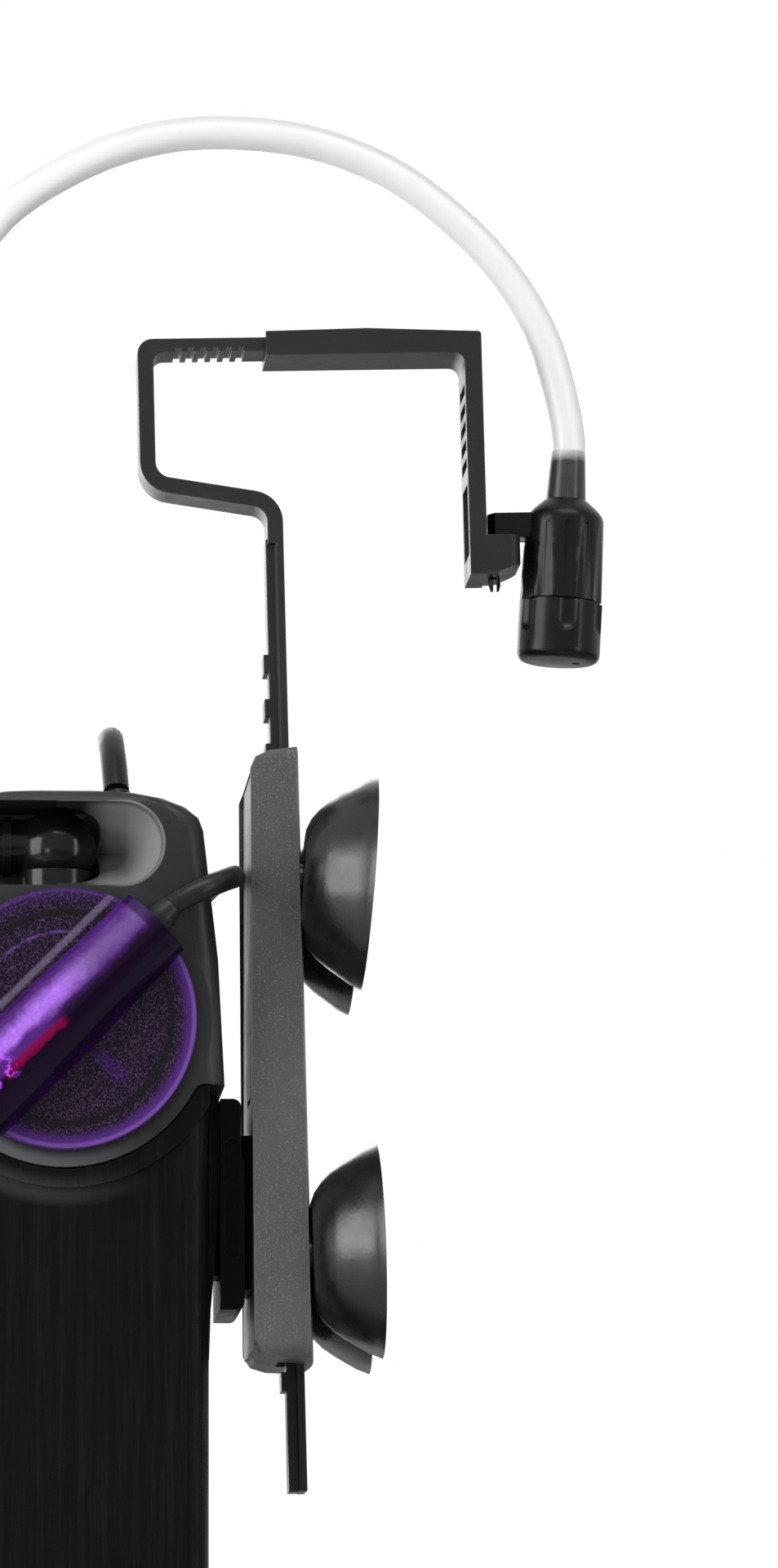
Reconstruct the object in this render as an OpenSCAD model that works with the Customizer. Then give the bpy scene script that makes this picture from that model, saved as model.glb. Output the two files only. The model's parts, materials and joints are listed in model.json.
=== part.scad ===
// Internal aquarium power filter with a UV lamp, a telescoping rim hanger and an air regulator.
// Millimetres. X points to the bracket side, Y to the rear, Z up. The origin is the middle of the base.

/* [Head and cup] */
// Height from the base of the cup to the top of the head
total_h = 350; // [330:5:380]
// Width of the cup, side to side
cup_w = 51; // [49:0.5:51]
// Depth of the cup, front to rear
cup_d = 56; // [56:0.5:57]
// Wall of the cup and of the head
wall = 2.2; // [1.8:0.1:2.4]
// Height of the head on its sides
head_h = 52.4; // [52:0.1:53]
// Width of the head at its lower edge
head_w = 56.4; // [56:0.2:58]
// Width of the head where its top corners begin
head_top_w = 48.8; // [48:0.2:50]
// Radius of the head's and cup's upright edges
edge_r = 4; // [3:0.5:5]
// Gap of the seam between head and cup
seam_gap = 0.3; // [0.2:0.05:0.4]

/* [Knob and lamp] */
// Radius of the purple lamp knob
knob_r = 23; // [22:0.1:23.5]
// Height of the knob's centre below the top of the head
knob_drop = 41.3; // [41:0.1:41.8]
// Half width of the grip ridge at its thick end
grip_r = 7.75; // [7.4:0.05:8]
// Half width of the grip ridge at the cord end
grip_end_r = 6.95; // [6.3:0.05:7.2]
// Angle of the grip ridge from level
grip_angle = 45; // [40:1:50]

/* [Outlet nozzle] */
// Radius of the nozzle's round barrel
nozzle_r = 7.25; // [7:0.05:7.4]
// Outer radius of the spout
spout_r = 4.9; // [4.7:0.1:5.1]
// Bore radius of the spout
spout_bore_r = 3.8; // [3.5:0.1:3.9]
// Reach of the spout from the barrel's axis
spout_reach = 36.5; // [35:0.5:40]

/* [Bracket] */
// Height of the bracket shell
shell_h = 107.5; // [105:0.5:108]
// Depth of the bracket shell, front to rear
shell_d = 47; // [46:0.5:48]
// How far the shell's outer face is crowned
crown = 1.2; // [0.8:0.1:1.4]
// Distance between the two rows of suction cups
sucker_pitch_z = 66.8; // [62:0.2:68]

/* [Hanger] */
// Lean of the hanger towards the filter, in degrees
hanger_lean = 1.36; // [1:0.02:1.6]
// Width of the toothed strap
strap_w = 10.6; // [10:0.1:11]
// Pitch of the strap's teeth
tooth_pitch = 8.1; // [7.5:0.1:9]
// Width of the rim hook
hook_w = 15.4; // [14.8:0.2:16]
// Clear gap between strap and hook for the tank's rim
rim_gap = 33.6; // [33:0.2:36]

/* [Regulator and hose] */
// Radius of the regulator's body at its foot
regulator_r = 7.5; // [7.2:0.1:7.5]
// Outer radius of the clear air hose
hose_r = 3; // [2.9:0.1:3.2]

/* [Cords] */
// Diameter of the pump's lead
mains_d = 4.8; // [4.4:0.1:5]
// Diameter of the lamp's lead
uv_d = 4; // [3.8:0.1:4.2]

/* [Hidden] */
$fn = 48;

fit = 0.06;                       // radial clearance of turning fits
slack = 0.15;                     // clearance of sliding fits
eps = 0.01;                       // thickness of a hull slice
cut = 1;                          // how far a cutter runs past a face
inner_w = cup_w - 2 * wall;
inner_d = cup_d - 2 * wall;
inner_half = inner_w / 2;
inner_r = edge_r - wall / 2;       // corners of the cup's inside

// Head
seam_z = total_h - head_h;
head_rear = cup_d / 2;
head_front = -cup_d / 2 - 2;      // the head stands 2 mm proud of the cup's front
head_mid = (head_front + head_rear) / 2;
head_d = head_rear - head_front;
head_flat = 8;                    // half width of the flat top
corner_drop = 7;                  // how far the top corners fall
top_inset = 3.5;                  // rounding of the top's front and rear edges
waist_drop = 30;                  // where the sides change their slope
waist_w = 54.1;
knob_z = total_h - knob_drop;
lobe_r = 25.8;                    // round lobe around the knob, dipping into the cup
lobe_back = head_front + 24;
lobe_fillet = 2;
chamber_r = 19.6;
chamber_back = head_front + 22;
neck_x = inner_half - inner_r;    // half width of what dips into the cup, clear of its corners

// Outlet recess and nozzle seat
recess_r = 7.6;
recess_z = total_h - 9.7;
recess_x = 9.75;
recess_back = head_front + 20.2;
ball_gap = 0.7;                   // room around the nozzle's ball, where the bay meets the scoop
scoop = [[0, -cut], [recess_r, -cut], [recess_r, 0.4], [recess_r - 0.4, 2.4], [recess_r - 1.2, 5.4],
    [recess_r - 2.6, 9], [recess_r - 4.6, 12.6], [0, 16]];
recess_floor = recess_z - recess_r;
nozzle_x = -1.5;
nozzle_y = head_front + 12;
nozzle_flange = 0.5;
ball_z = total_h - 9.6;
spout_z = total_h - 9;
seat_ceiling = recess_floor - 4.4;
nipple_r = 2.1;
nipple_x = nozzle_x - 27;
nipple_top = total_h + 6;

// Knob and lamp: the grip's axis lies in the knob's face, a little off its centre
knob_front = head_front - 4;
knob_back = head_front - 0.3;
skirt_end = head_front + 4;
skirt_r = chamber_r - fit;
skirt_wall = 2.2;
lug_y0 = head_front + 2.6;        // bayonet lugs behind the knob, and the groove they turn in
lug_y1 = head_front + 4;
groove_y0 = head_front + 2.4;
groove_y1 = head_front + 4.6;
lug_w = 5.2;
grip_y = knob_front;
grip_shift = 0.7;
grip_wall = 1.6;
grip_end = knob_r;
lamp_y = -1;                      // the lamp sits this far in front of the grip's axis
lamp_from = -17;
lamp_to = 6;
lamp_r = 3.4;
sleeve_r = 4.7;
uv_gland_r = 2.85;
uv_gland_y = -3;
uv_gland_l = 6.6;

// Pump
deck_z = seam_z - 6.6;
skirt_z = seam_z - 9;
volute_r = cup_d / 2 - 14.4;
impeller_r = volute_r - 2.1;
cover_r = volute_r + 1.1;         // rests on the deck around the volute
pump_y = head_rear - wall - 2.2 - cover_r;
volute_top = deck_z + 7.5;
well_r = 8.2;
well_top = seam_z + 29;
can_wall = 1.2;
bay_floor = volute_top + 2.5;
bay_top = total_h - 5;
bay_w = 41;
bay_front = chamber_back + 3;
bay_rear = head_rear - wall - 0.5;
shaft_r = 1.25;
rotor_r = 7.9;
gland_x = 11;
gland_y = head_rear - 9;
core_y1 = gland_y - 4.2;           // the stator's stack stops short of the gland
core_y0 = 2 * pump_y - core_y1;
gland_tip = total_h + 6;
gland_lean = 20;                  // the gland leans back, away from the outlet

// Cup
cup_top = seam_z - seam_gap;
floor_t = 3;
ledge_z = 168;
collar_r = 29.4;
collar_proud = 1.2;
slot_w = 2.6;
slot_h = 26;
slot_z0 = 24;                     // middle of the lowest row of slots
slot_step = 32;
media_gap = 0.8;                  // play of the sponge and the tray in the cup
sponge_h = 150;
tube_r = 8.1;
tray_h = 92;
tray_wall = 1.4;
carbon_h = 40;
fleece_h = 30;

// Rail on the cup and the clip that slides on it
rail_drop = 101;
rail_bottom = total_h - rail_drop;
rail_x = cup_w / 2;
clip_x0 = 27.9;
clip_x1 = 32.2;
clip_drop = 53.5;                 // from the top of the head down to the clip
clip_h = 37.5;
clip_top = total_h - clip_drop;
clip_bottom = clip_top - clip_h;
clip_d = 31;
clip_corner = 1.5;
tee_neck = 6;                     // tee-shaped foot of the clip, in the rail's channel
tee_w = 9;
tee_bottom = clip_bottom + 6.8;
tee_top = clip_top - 5.5;

// Bracket
shell_x0 = 32.9;                  // the shell's open side, at its top
shell_splay = 0.7;                // how far that side leans away towards the foot
shell_wall = 1.5;
plate_x0 = shell_x0 + 0.8;
plate_x1 = plate_x0 + 1.6;
shell_drop = 99.5;                // from the top of the head down to the shell's foot
shell_bottom = total_h - shell_drop;
shell_top = shell_bottom + shell_h;
plate_bottom = shell_bottom + shell_wall + 0.3;
plate_top = shell_top - shell_wall - 0.5;
plate_d = shell_d - 2 * shell_wall - 0.4;
pocket_y0 = strap_w / 2 + 2;      // hollows of the shell on both sides of the strap
pocket_y1 = shell_d / 2 - 1.6;
crown_r = (shell_d * shell_d / 4 + crown * crown) / (2 * crown);
crown_x = 1.55;
sucker_drop = 47.9;
sucker_z = total_h - sucker_drop; // middle of the two rows
sucker_pitch_y = shell_d - 8.4;
sucker_r = sucker_pitch_y / 2 - 0.25;
sucker_depth = 12.2;
sucker_neck = 2.5;
sucker_head = 3.2;

// Hanger: in its own leaning frame, x = 0 is the strap's outer face
hang_x = 42.08;
hang_drop = 48;
hang_z = total_h - hang_drop;
strap_drop = 122.4;               // from the top of the head down to the strap's foot
strap_bottom = total_h - strap_drop;
strip_t = 1.45;
rib_t = 1.75;
rib_w = 7.2;
tooth_t = 0.9;
tooth_h = 3.4;
bar_t = 2.85;
bend_rise = 52.6;
bend_z = total_h + bend_rise;     // start of the lower bend
bend_turn = 80.1;
bend_outer = 5.8;
bend_mid = bend_outer - bar_t / 2;
diagonal = 15.8;
arm_rise = 84.2;
arm_z = total_h + arm_rise;       // underside of the strap's top arm
arm_t = 2.4;
arm_end = 14.5;
corner_outer = 2.75;
notch_pitch = 2.28;
notch_w = 1.15;
hook_under = 1.35;                // walls of the hook's sleeve, below and above the arm
hook_over = 0.45;
hook_z0 = arm_z - hook_under;
hook_z1 = arm_z + arm_t + hook_over;
hook_x0 = -2.4;
leg_t = 3.15;
leg_x = rim_gap + leg_t;
leg_l = 42.2;                     // from the arm down to the leg's end
leg_bottom = arm_z - leg_l;
foot_t = 6.8;
foot_z0 = leg_bottom + 0.4;
foot_z1 = foot_z0 + foot_t;
foot_x = leg_x + 6.1;
foot_round = 2.2;
foot_rise = 1.6;                  // the foot's underside rises towards its end
pin_x = leg_x + 1.7;
pin_r = 1.1;
arm_w = 6;
pocket_end = 32.2;
hook_peak = 16;                   // the hook's top rises a little up to here

// Regulator: in its own frame the origin is where its pin meets the foot's top
regulator_tilt = 4.6;
reg_x = 12.85;
reg_top_r = 7.1;
shoulder_z = 8.2;
shoulder = [[0, 4.4], [reg_top_r, 4.5], [reg_top_r - 0.3, 5.3], [reg_top_r - 1, 6.2], [reg_top_r - 2, 7.1],
    [reg_top_r - 3.3, shoulder_z], [0, shoulder_z]];
body_foot = -10.6;
cap_r = regulator_r + 0.1;
cap_top = -10.9;
cap_foot = -21.7;
cap_round = 1.6;
spigot_r = 5.9;
barb_r = 2.85;                    // barb that the hose is pushed over
barb_h = 8;
flute_r = 6;                      // twelve shallow flutes down the body
flute_depth = 0.42;
flute_top = 3;
dimple_r = 3.2;                   // six finger dimples round the cap
dimple_depth = 0.85;
dimple_rise = 7;

// Routes of the cords, from the gland towards the plug
mains_r = mains_d / 2;
uv_r = uv_d / 2;
mains_coil_at = [-35, 68];
mains_coil_r = 26;
uv_coil_at = [45, 66];
uv_coil_r = 22;
coil_rest = 0.8;                  // lift of the strands off the floor, over the tie
mains_floor = mains_r + coil_rest;
uv_floor = uv_r + coil_rest;
mains_route = [
    [10.4, gland_y + 2.4, gland_tip + 1], [10.1, 24, total_h + 11.5], [9.8, 28.5, total_h + 15.7],
    [9.7, 34, total_h + 18.2], [9.9, 40.1, total_h + 19], [10.3, 46.1, total_h + 17.8],
    [11, 51.4, total_h + 14.9], [11.5, 55.6, total_h + 10.4], [11.7, 58.1, total_h + 4.9],
    [11.3, 59.2, total_h - 3], [9.8, 59.2, total_h - 14], [7.2, 58.5, total_h - 29],
    [3, 57, total_h - 53], [-1, 55, total_h - 81], [-4, 52.8, 240], [-6.2, 51, 210],
    [-8, 49.2, 180], [-9, 47.5, 148], [-9, 46, 114], [-9, 45, 80], [-9, 44, 52], [-9, 44.5, 38],
    [-9, 46.5, 26], [-9, 50.5, 15.5], [-9, 56.5, 8], [-9, 63, 4], [-9, 69, mains_floor]];
mains_tail_route = [
    [-65.8, 68, mains_floor], [-66.2, 59, mains_floor], [-67.4, 50, 3.4],
    [-69.4, 41, 4.4], [-71.6, 33, 5.8], [-73, 27, 6.85]];
uv_route = [
    [19.3, knob_front - 3, knob_z + 20.1], [22.4, knob_front - 3, knob_z + 21.8],
    [25.5, -35.8, knob_z + 23.3], [28.1, -32, knob_z + 24.8], [29.6, -26.2, knob_z + 26],
    [30.3, -19, knob_z + 27.1], [30.5, -9, knob_z + 28.5], [30.5, 1, knob_z + 29.8],
    [30.5, 11, knob_z + 31], [30.4, 20, knob_z + 32], [29.8, 28.5, knob_z + 32.7],
    [28.2, 36, knob_z + 32.4], [25.8, 42.2, knob_z + 30], [23.8, 46.4, knob_z + 25],
    [22.8, 48.6, knob_z + 17.5], [22.6, 49.2, knob_z + 8], [22.7, 48.8, knob_z - 4],
    [22.9, 47.8, knob_z - 20], [23, 46.8, knob_z - 38], [23, 46.2, knob_z - 56],
    [23, 46, 235], [23, 46, 205], [23, 46, 175], [23, 46, 145],
    [23, 45.5, 115], [23, 45, 85], [23, 45, 58], [23, 45, 36], [23, 47, 24],
    [23, 51, 14], [23, 57, 6.8], [23, 62.5, 3.6], [23, 67, uv_floor]];
uv_tail_route = [
    [71, 66, uv_floor], [71.3, 58, uv_floor], [72.6, 50, 3.2],
    [74.8, 42, 4.2], [77.4, 34, 5.7], [79, 27, 6.85]];
hose_route = [
    [-28.5, nozzle_y, nipple_top + 1.3], [-28.8, nozzle_y, total_h + 20], [-29.4, -17.6, total_h + 38],
    [-29.2, -16.4, total_h + 56], [-26.5, -14.8, total_h + 74], [-20.5, -13, total_h + 92],
    [-11.7, -11, total_h + 107], [3.1, -9, total_h + 117.5], [17.9, -7, total_h + 123],
    [32.7, -5.5, total_h + 124.2], [47.6, -4, total_h + 122.3], [62.4, -2.6, total_h + 116],
    [77.2, -1.4, total_h + 103.5], [86.5, -0.5, total_h + 90], [90.6, 0, total_h + 77.5],
    [92.1, 0, total_h + 68.6]];

plug_h = 13.7;
plug_w = 35.3;
plug_l = 36;
relief_l = 26;
mains_plug_at = [-73, 27, 6.85];
uv_plug_at = [79, 27, 6.85];

// A rectangle with round corners, drawn flat
module rounded_rect(w, d, r) {
    square([w - 2 * r, d], center = true);
    square([w, d - 2 * r], center = true);
    for (x = [-1, 1], y = [-1, 1])
        translate([x * (w / 2 - r), y * (d / 2 - r)]) circle(r = r);
}

// An upright slot with round ends, drawn flat
module slot_outline(w, h) {
    square([w, h - w], center = true);
    for (s = [-1, 1]) translate([0, s * (h - w) / 2]) circle(d = w, $fn = 24);
}

// Turns a drawing in X and Z into a solid from y0 to y1
module along_y(y0, y1) {
    translate([0, y1, 0]) rotate([90, 0, 0]) linear_extrude(y1 - y0) children();
}

// Turns a drawing in Y and Z into a solid from x0 to x1
module along_x(x0, x1) {
    translate([x0, 0, 0]) rotate([90, 0, 90]) linear_extrude(x1 - x0) children();
}

// A ring or disc about the Z axis
module ring(r_out, r_in, z0, z1) {
    difference() {
        translate([0, 0, z0]) cylinder(r = r_out, h = z1 - z0);
        if (r_in > 0) translate([0, 0, z0 - cut]) cylinder(r = r_in, h = z1 - z0 + 2 * cut);
    }
}

// A box given by its two opposite corners
module block(lo, hi) {
    translate(lo) cube(hi - lo);
}

// Frames of the tilted parts
module in_hanger() {
    translate([hang_x, 0, hang_z]) rotate([0, -hanger_lean, 0]) translate([0, 0, -hang_z]) children();
}
module in_regulator() {
    in_hanger() translate([pin_x, 0, foot_z1 + 0.2]) children();
}
module in_regulator_body() {
    in_regulator() rotate([0, regulator_tilt, 0]) translate([reg_x, 0, 0]) children();
}
module in_grip() {
    translate([-grip_shift * sin(grip_angle), grip_y, knob_z + grip_shift * cos(grip_angle)])
        rotate([0, 90 - grip_angle, 0]) children();
}

// Outline shared by the head's lobe and the cup's cut-out; grow is the seam between them
module lobe_outline(grow) {
    r = lobe_r + grow;
    f = lobe_fillet - grow;
    drop = knob_z - (seam_z - grow) + f;
    dx = sqrt((r + f) * (r + f) - drop * drop);
    touch = r / (r + f);
    translate([0, knob_z]) difference() {
        union() {
            circle(r = r, $fn = 96);
            for (s = [-1, 1]) polygon([[0, 0], [s * dx, 0], [s * dx, f - drop],
                [s * dx * touch, -drop * touch]]);
        }
        for (s = [-1, 1]) translate([s * dx, -drop]) circle(r = f);
    }
}

/* ---- Cup and what it holds ---- */
module cup_slots() {
    for (z = [slot_z0:slot_step:slot_z0 + 3 * slot_step]) {
        for (x = [-18:6:18]) along_y(-cup_d / 2 - cut, cup_d / 2 + cut)
            translate([x, z]) slot_outline(slot_w, slot_h);
        for (y = [-18:6:18]) along_x(-cup_w / 2 - cut, cup_w / 2 + cut)
            translate([y, z]) slot_outline(slot_w, slot_h);
    }
}
module rail() {
    along_y(-13, 13) polygon([[rail_x - 0.5, rail_bottom], [rail_x + 0.5, rail_bottom + 1.3],
        [rail_x + 0.8, rail_bottom + 10.3], [rail_x + 1.4, rail_bottom + 16.7],
        [rail_x + 2.25, rail_bottom + 31], [rail_x + 2.25, cup_top], [rail_x - 0.5, cup_top]]);
}
module rail_channel() {
    block([rail_x + 0.1, -tee_w - 0.2, rail_bottom - cut], [rail_x + 1.2, tee_w + 0.2, cup_top + cut]);
    block([rail_x + 0.1, -tee_neck - 0.2, rail_bottom - cut], [rail_x + 4, tee_neck + 0.2, cup_top + cut]);
}
module cup() {
    color([0.06, 0.06, 0.065]) difference() {
        union() {
            linear_extrude(cup_top) rounded_rect(cup_w, cup_d, edge_r);
            rail();
            intersection() {
                along_y(-cup_d / 2 - collar_proud, -cup_d / 2 + 1) translate([0, knob_z]) circle(r = collar_r);
                block([-cup_w / 2, -cup_d, seam_z - 30], [cup_w / 2, 0, cup_top]);
            }
        }
        difference() {
            translate([0, 0, floor_t]) linear_extrude(cup_top)
                rounded_rect(inner_w, inner_d, inner_r);
            translate([0, 0, ledge_z - 3]) linear_extrude(3) difference() {
                rounded_rect(inner_w + 1, inner_d + 1, inner_r);
                rounded_rect(inner_w - 4, inner_d - 4, inner_r);
            }
        }
        along_y(head_front - cut, -cup_d / 2 + wall + cut) lobe_outline(seam_gap);
        cup_slots();
        rail_channel();
    }
}
module sponge() {
    color([0.2, 0.22, 0.26]) difference() {
        translate([0, 0, floor_t]) linear_extrude(sponge_h)
            rounded_rect(inner_w - media_gap, inner_d - media_gap, 2.5);
        cylinder(r = tube_r + 0.3, h = sponge_h + 2 * floor_t);
    }
}
module intake_tube() {
    color([0.08, 0.08, 0.09]) difference() {
        ring(tube_r, tube_r - 1.3, floor_t, ledge_z - 8);
        for (z = [14:12:146], a = [0, 90]) translate([0, 0, z]) rotate([90, 0, a])
            translate([0, 0, -12]) cylinder(r = 1.6, h = 24, $fn = 24);
    }
}
module media_tray() {
    color([0.1, 0.1, 0.11]) difference() {
        translate([0, 0, ledge_z]) linear_extrude(tray_h)
            rounded_rect(inner_w - media_gap, inner_d - media_gap, 2.5);
        translate([0, 0, ledge_z + 2]) linear_extrude(tray_h) rounded_rect(
            inner_w - media_gap - 2 * tray_wall, inner_d - media_gap - 2 * tray_wall, 1.5);
        for (x = [-16:4:16]) block([x - 1, -20, ledge_z - cut], [x + 1, 20, ledge_z + 3]);
    }
}
module carbon_pad() {
    color([0.05, 0.05, 0.05]) translate([0, 0, ledge_z + 2]) linear_extrude(carbon_h)
        rounded_rect(inner_w - media_gap - 2 * tray_wall - 0.6,
            inner_d - media_gap - 2 * tray_wall - 0.6, 1.5);
}
module fleece_pad() {
    color([0.85, 0.86, 0.84]) translate([0, 0, ledge_z + 2 + carbon_h]) linear_extrude(fleece_h)
        rounded_rect(inner_w - media_gap - 2 * tray_wall - 0.6,
            inner_d - media_gap - 2 * tray_wall - 0.6, 1.5);
}

/* ---- Motor head ---- */
module head_slice(z, half_w, inset) {
    translate([0, head_mid, z]) linear_extrude(eps)
        rounded_rect(2 * half_w, head_d - 2 * inset, edge_r, $fn = 32);
}
module head_outer() {
    hull() {
        head_slice(seam_z, head_w / 2, 0);
        head_slice(total_h - waist_drop, waist_w / 2, 0);
        for (a = [0:18:90]) head_slice(total_h - eps - corner_drop * (1 - cos(a)),
            head_flat + (head_top_w / 2 - head_flat) * sin(a), top_inset * (1 - sin(a)));
    }
}
module outlet_recess() {
    along_y(head_front - cut, recess_back) translate([-head_w, recess_floor])
        square([head_w + nozzle_x, 2 * recess_r]);
    translate([nozzle_x, nozzle_y, 0]) ring(nozzle_r + ball_gap, 0, recess_floor, recess_floor + 2 * recess_r);
    translate([recess_x, head_front, recess_z]) rotate([-90, 0, 0]) rotate_extrude($fn = 96) polygon(scoop);
    along_x(nozzle_x - 0.1, recess_x) translate([head_front, recess_z]) for (s = [-1, 1])
        polygon([for (p = scoop) [p[1], s * p[0]]]);
}
module bayonet_groove() {
    translate([0, 0, knob_z]) rotate([90, 0, 0]) {
        ring(chamber_r + 1.2, 0, -groove_y1, -groove_y0);
        for (a = [0, 180]) rotate([0, 0, a - 45])
            block([0, -lug_w / 2 - 0.6, -groove_y1], [chamber_r + 1.2, lug_w / 2 + 0.6, cut - head_front]);
    }
}
module head() {
    color([0.16, 0.165, 0.18]) difference() {
        union() {
            head_outer();
            along_y(head_front, -cup_d / 2 + wall) lobe_outline(0);
            along_y(-cup_d / 2 + wall - 0.1, lobe_back) intersection() {
                lobe_outline(0);
                translate([-neck_x, 0]) square([2 * neck_x, total_h]);
            }
            translate([0, 0, skirt_z]) linear_extrude(seam_z - skirt_z + 0.5)
                rounded_rect(inner_w - 0.5, inner_d - 0.5, 2.7);
        }
        translate([0, 0, skirt_z - cut]) linear_extrude(deck_z - skirt_z + cut) intersection() {
            rounded_rect(inner_w - 4, inner_d - 4, 2);
            translate([-30, lobe_back]) square([60, 40]);
        }
        difference() {
            block([-bay_w / 2, bay_front, bay_floor], [bay_w / 2, bay_rear, bay_top]);
            translate([0, pump_y, 0]) ring(well_r + can_wall, 0, bay_floor - cut, well_top + can_wall);
        }
        translate([0, pump_y, 0]) ring(well_r, 0, deck_z, well_top);
        translate([0, pump_y, 0]) ring(volute_r, 0, deck_z - cut, volute_top);
        along_y(head_front - cut, chamber_back) translate([0, knob_z]) circle(r = chamber_r, $fn = 96);
        block([-volute_r - 0.9, chamber_back - 3, deck_z + 2], [-7.5, pump_y, volute_top]);
        bayonet_groove();
        outlet_recess();
        translate([nozzle_x, nozzle_y, 0]) {
            ring(nozzle_r + fit, 0, seat_ceiling - cut, recess_floor + cut);
            ring(nozzle_r + nozzle_flange + 0.4, 0, seat_ceiling - 6, seat_ceiling);
        }
        translate([gland_x, gland_y, 0]) ring(3.2, 0, bay_top - cut, total_h + cut);
    }
}
module mains_gland() {
    color([0.05, 0.05, 0.05]) translate([gland_x, gland_y, 0]) {
        translate([0, 0, bay_top - 12]) cylinder(r1 = mains_r + 0.1, r2 = 2.8, h = 12);
        ring(3.15, 0, bay_top, total_h);
        ring(4.4, 0, total_h, total_h + 1.6);
        translate([0, 0, total_h + 0.6]) rotate([-gland_lean, -5, 0])
            cylinder(r1 = 3.1, r2 = mains_r + 0.15, h = gland_tip - total_h);
    }
}
module stator_core() {
    color([0.45, 0.45, 0.47]) difference() {
        block([-17, core_y0, bay_floor], [17, core_y1, bay_top - 4]);
        block([-well_r - can_wall - 0.1, core_y0 - cut, bay_floor - cut],
            [well_r + can_wall + 0.1, core_y1 + cut, bay_top - 11]);
    }
}
module winding() {
    bar_z = bay_top - 11;
    color([0.7, 0.38, 0.2]) difference() {
        along_x(-8.5, 8.5) translate([pump_y, bar_z + 3.5]) rounded_rect(core_y1 - core_y0 + 6.2, 12.6, 2.5);
        block([-9.5, core_y0 - 0.1, bar_z - 0.1], [9.5, core_y1 + 0.1, bar_z + 7.1]);
    }
}
module rotor() {
    color([0.12, 0.12, 0.13]) translate([0, pump_y, 0])
        ring(rotor_r, shaft_r + fit, volute_top + 1, well_top - 5);
}
module shaft() {
    color([0.9, 0.9, 0.88]) translate([0, pump_y, deck_z - 1.2])
        cylinder(r = shaft_r, h = well_top - deck_z - 0.2, $fn = 32);
}
module bush_top() {
    color([0.1, 0.1, 0.1]) translate([0, pump_y, 0]) difference() {
        ring(well_r - 0.05, 0, well_top - 4, well_top);
        ring(shaft_r + 0.01, 0, well_top - 5, well_top - 1.4);
    }
}
module bush_bottom() {
    color([0.1, 0.1, 0.1]) translate([0, pump_y, 0])
        ring(2.4, shaft_r + 0.01, deck_z - 1.2, deck_z + 1.4);
}
module impeller() {
    color([0.55, 0.56, 0.58]) translate([0, pump_y, 0]) {
        ring(3.4, shaft_r + fit, deck_z + 2, volute_top + 1);
        ring(impeller_r, 3.3, deck_z + 6.3, deck_z + 7);
        for (a = [0:60:300]) rotate([0, 0, a]) block([3, -0.6, deck_z + 2.2], [impeller_r, 0.6, deck_z + 6.5]);
    }
}
module impeller_cover() {
    color([0.09, 0.09, 0.1]) translate([0, pump_y, 0]) {
        ring(cover_r, 7, deck_z - 2, deck_z);
        ring(volute_r - 0.1, volute_r - 1.2, deck_z, deck_z + 1.5);
        ring(3.9, 2.4, deck_z - 2, deck_z);
        for (a = [30:120:270]) rotate([0, 0, a]) block([3.6, -0.9, deck_z - 2], [7.4, 0.9, deck_z]);
    }
}

/* ---- Outlet nozzle ---- */
module spout(r, x0, x1) {
    translate([x0, nozzle_y, spout_z]) rotate([0, 90, 0]) cylinder(r = r, h = x1 - x0);
}
module nozzle() {
    tip = nozzle_x - spout_reach;
    color([0.03, 0.03, 0.035]) difference() {
        union() {
            translate([nozzle_x, nozzle_y, 0]) {
                ring(nozzle_r, 0, seat_ceiling - 0.3, recess_floor - 0.1);
                ring(nozzle_r - 0.6, 0, recess_floor - 0.2, ball_z - 4);
                translate([0, 0, ball_z]) sphere(r = nozzle_r);
                ring(nozzle_r + nozzle_flange, 0, seat_ceiling - 1.5, seat_ceiling - 0.3);
            }
            spout(spout_r, tip, nozzle_x);
            spout(spout_r + 0.5, nozzle_x - 9.4, nozzle_x - 8);
            translate([nipple_x, nozzle_y, 0]) {
                ring(3.4, 0, spout_z, spout_z + spout_r + 1.2);
                ring(nipple_r, 0, spout_z, nipple_top);
            }
        }
        translate([nozzle_x, nozzle_y, 0]) {
            ring(4.3, 0, seat_ceiling - 3, ball_z);
            ring(nozzle_r + 1, 5.68, recess_floor - 3.1, recess_floor - 1.4);
        }
        spout(spout_bore_r, tip - cut, nozzle_x);
        translate([nipple_x, nozzle_y, 0]) ring(1.1, 0, spout_z, nipple_top + cut);
    }
}
module nozzle_oring() {
    color([0.02, 0.02, 0.02]) translate([nozzle_x, nozzle_y, recess_floor - 2.25])
        rotate_extrude() translate([6.48, 0]) circle(r = 0.8, $fn = 24);
}

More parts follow.
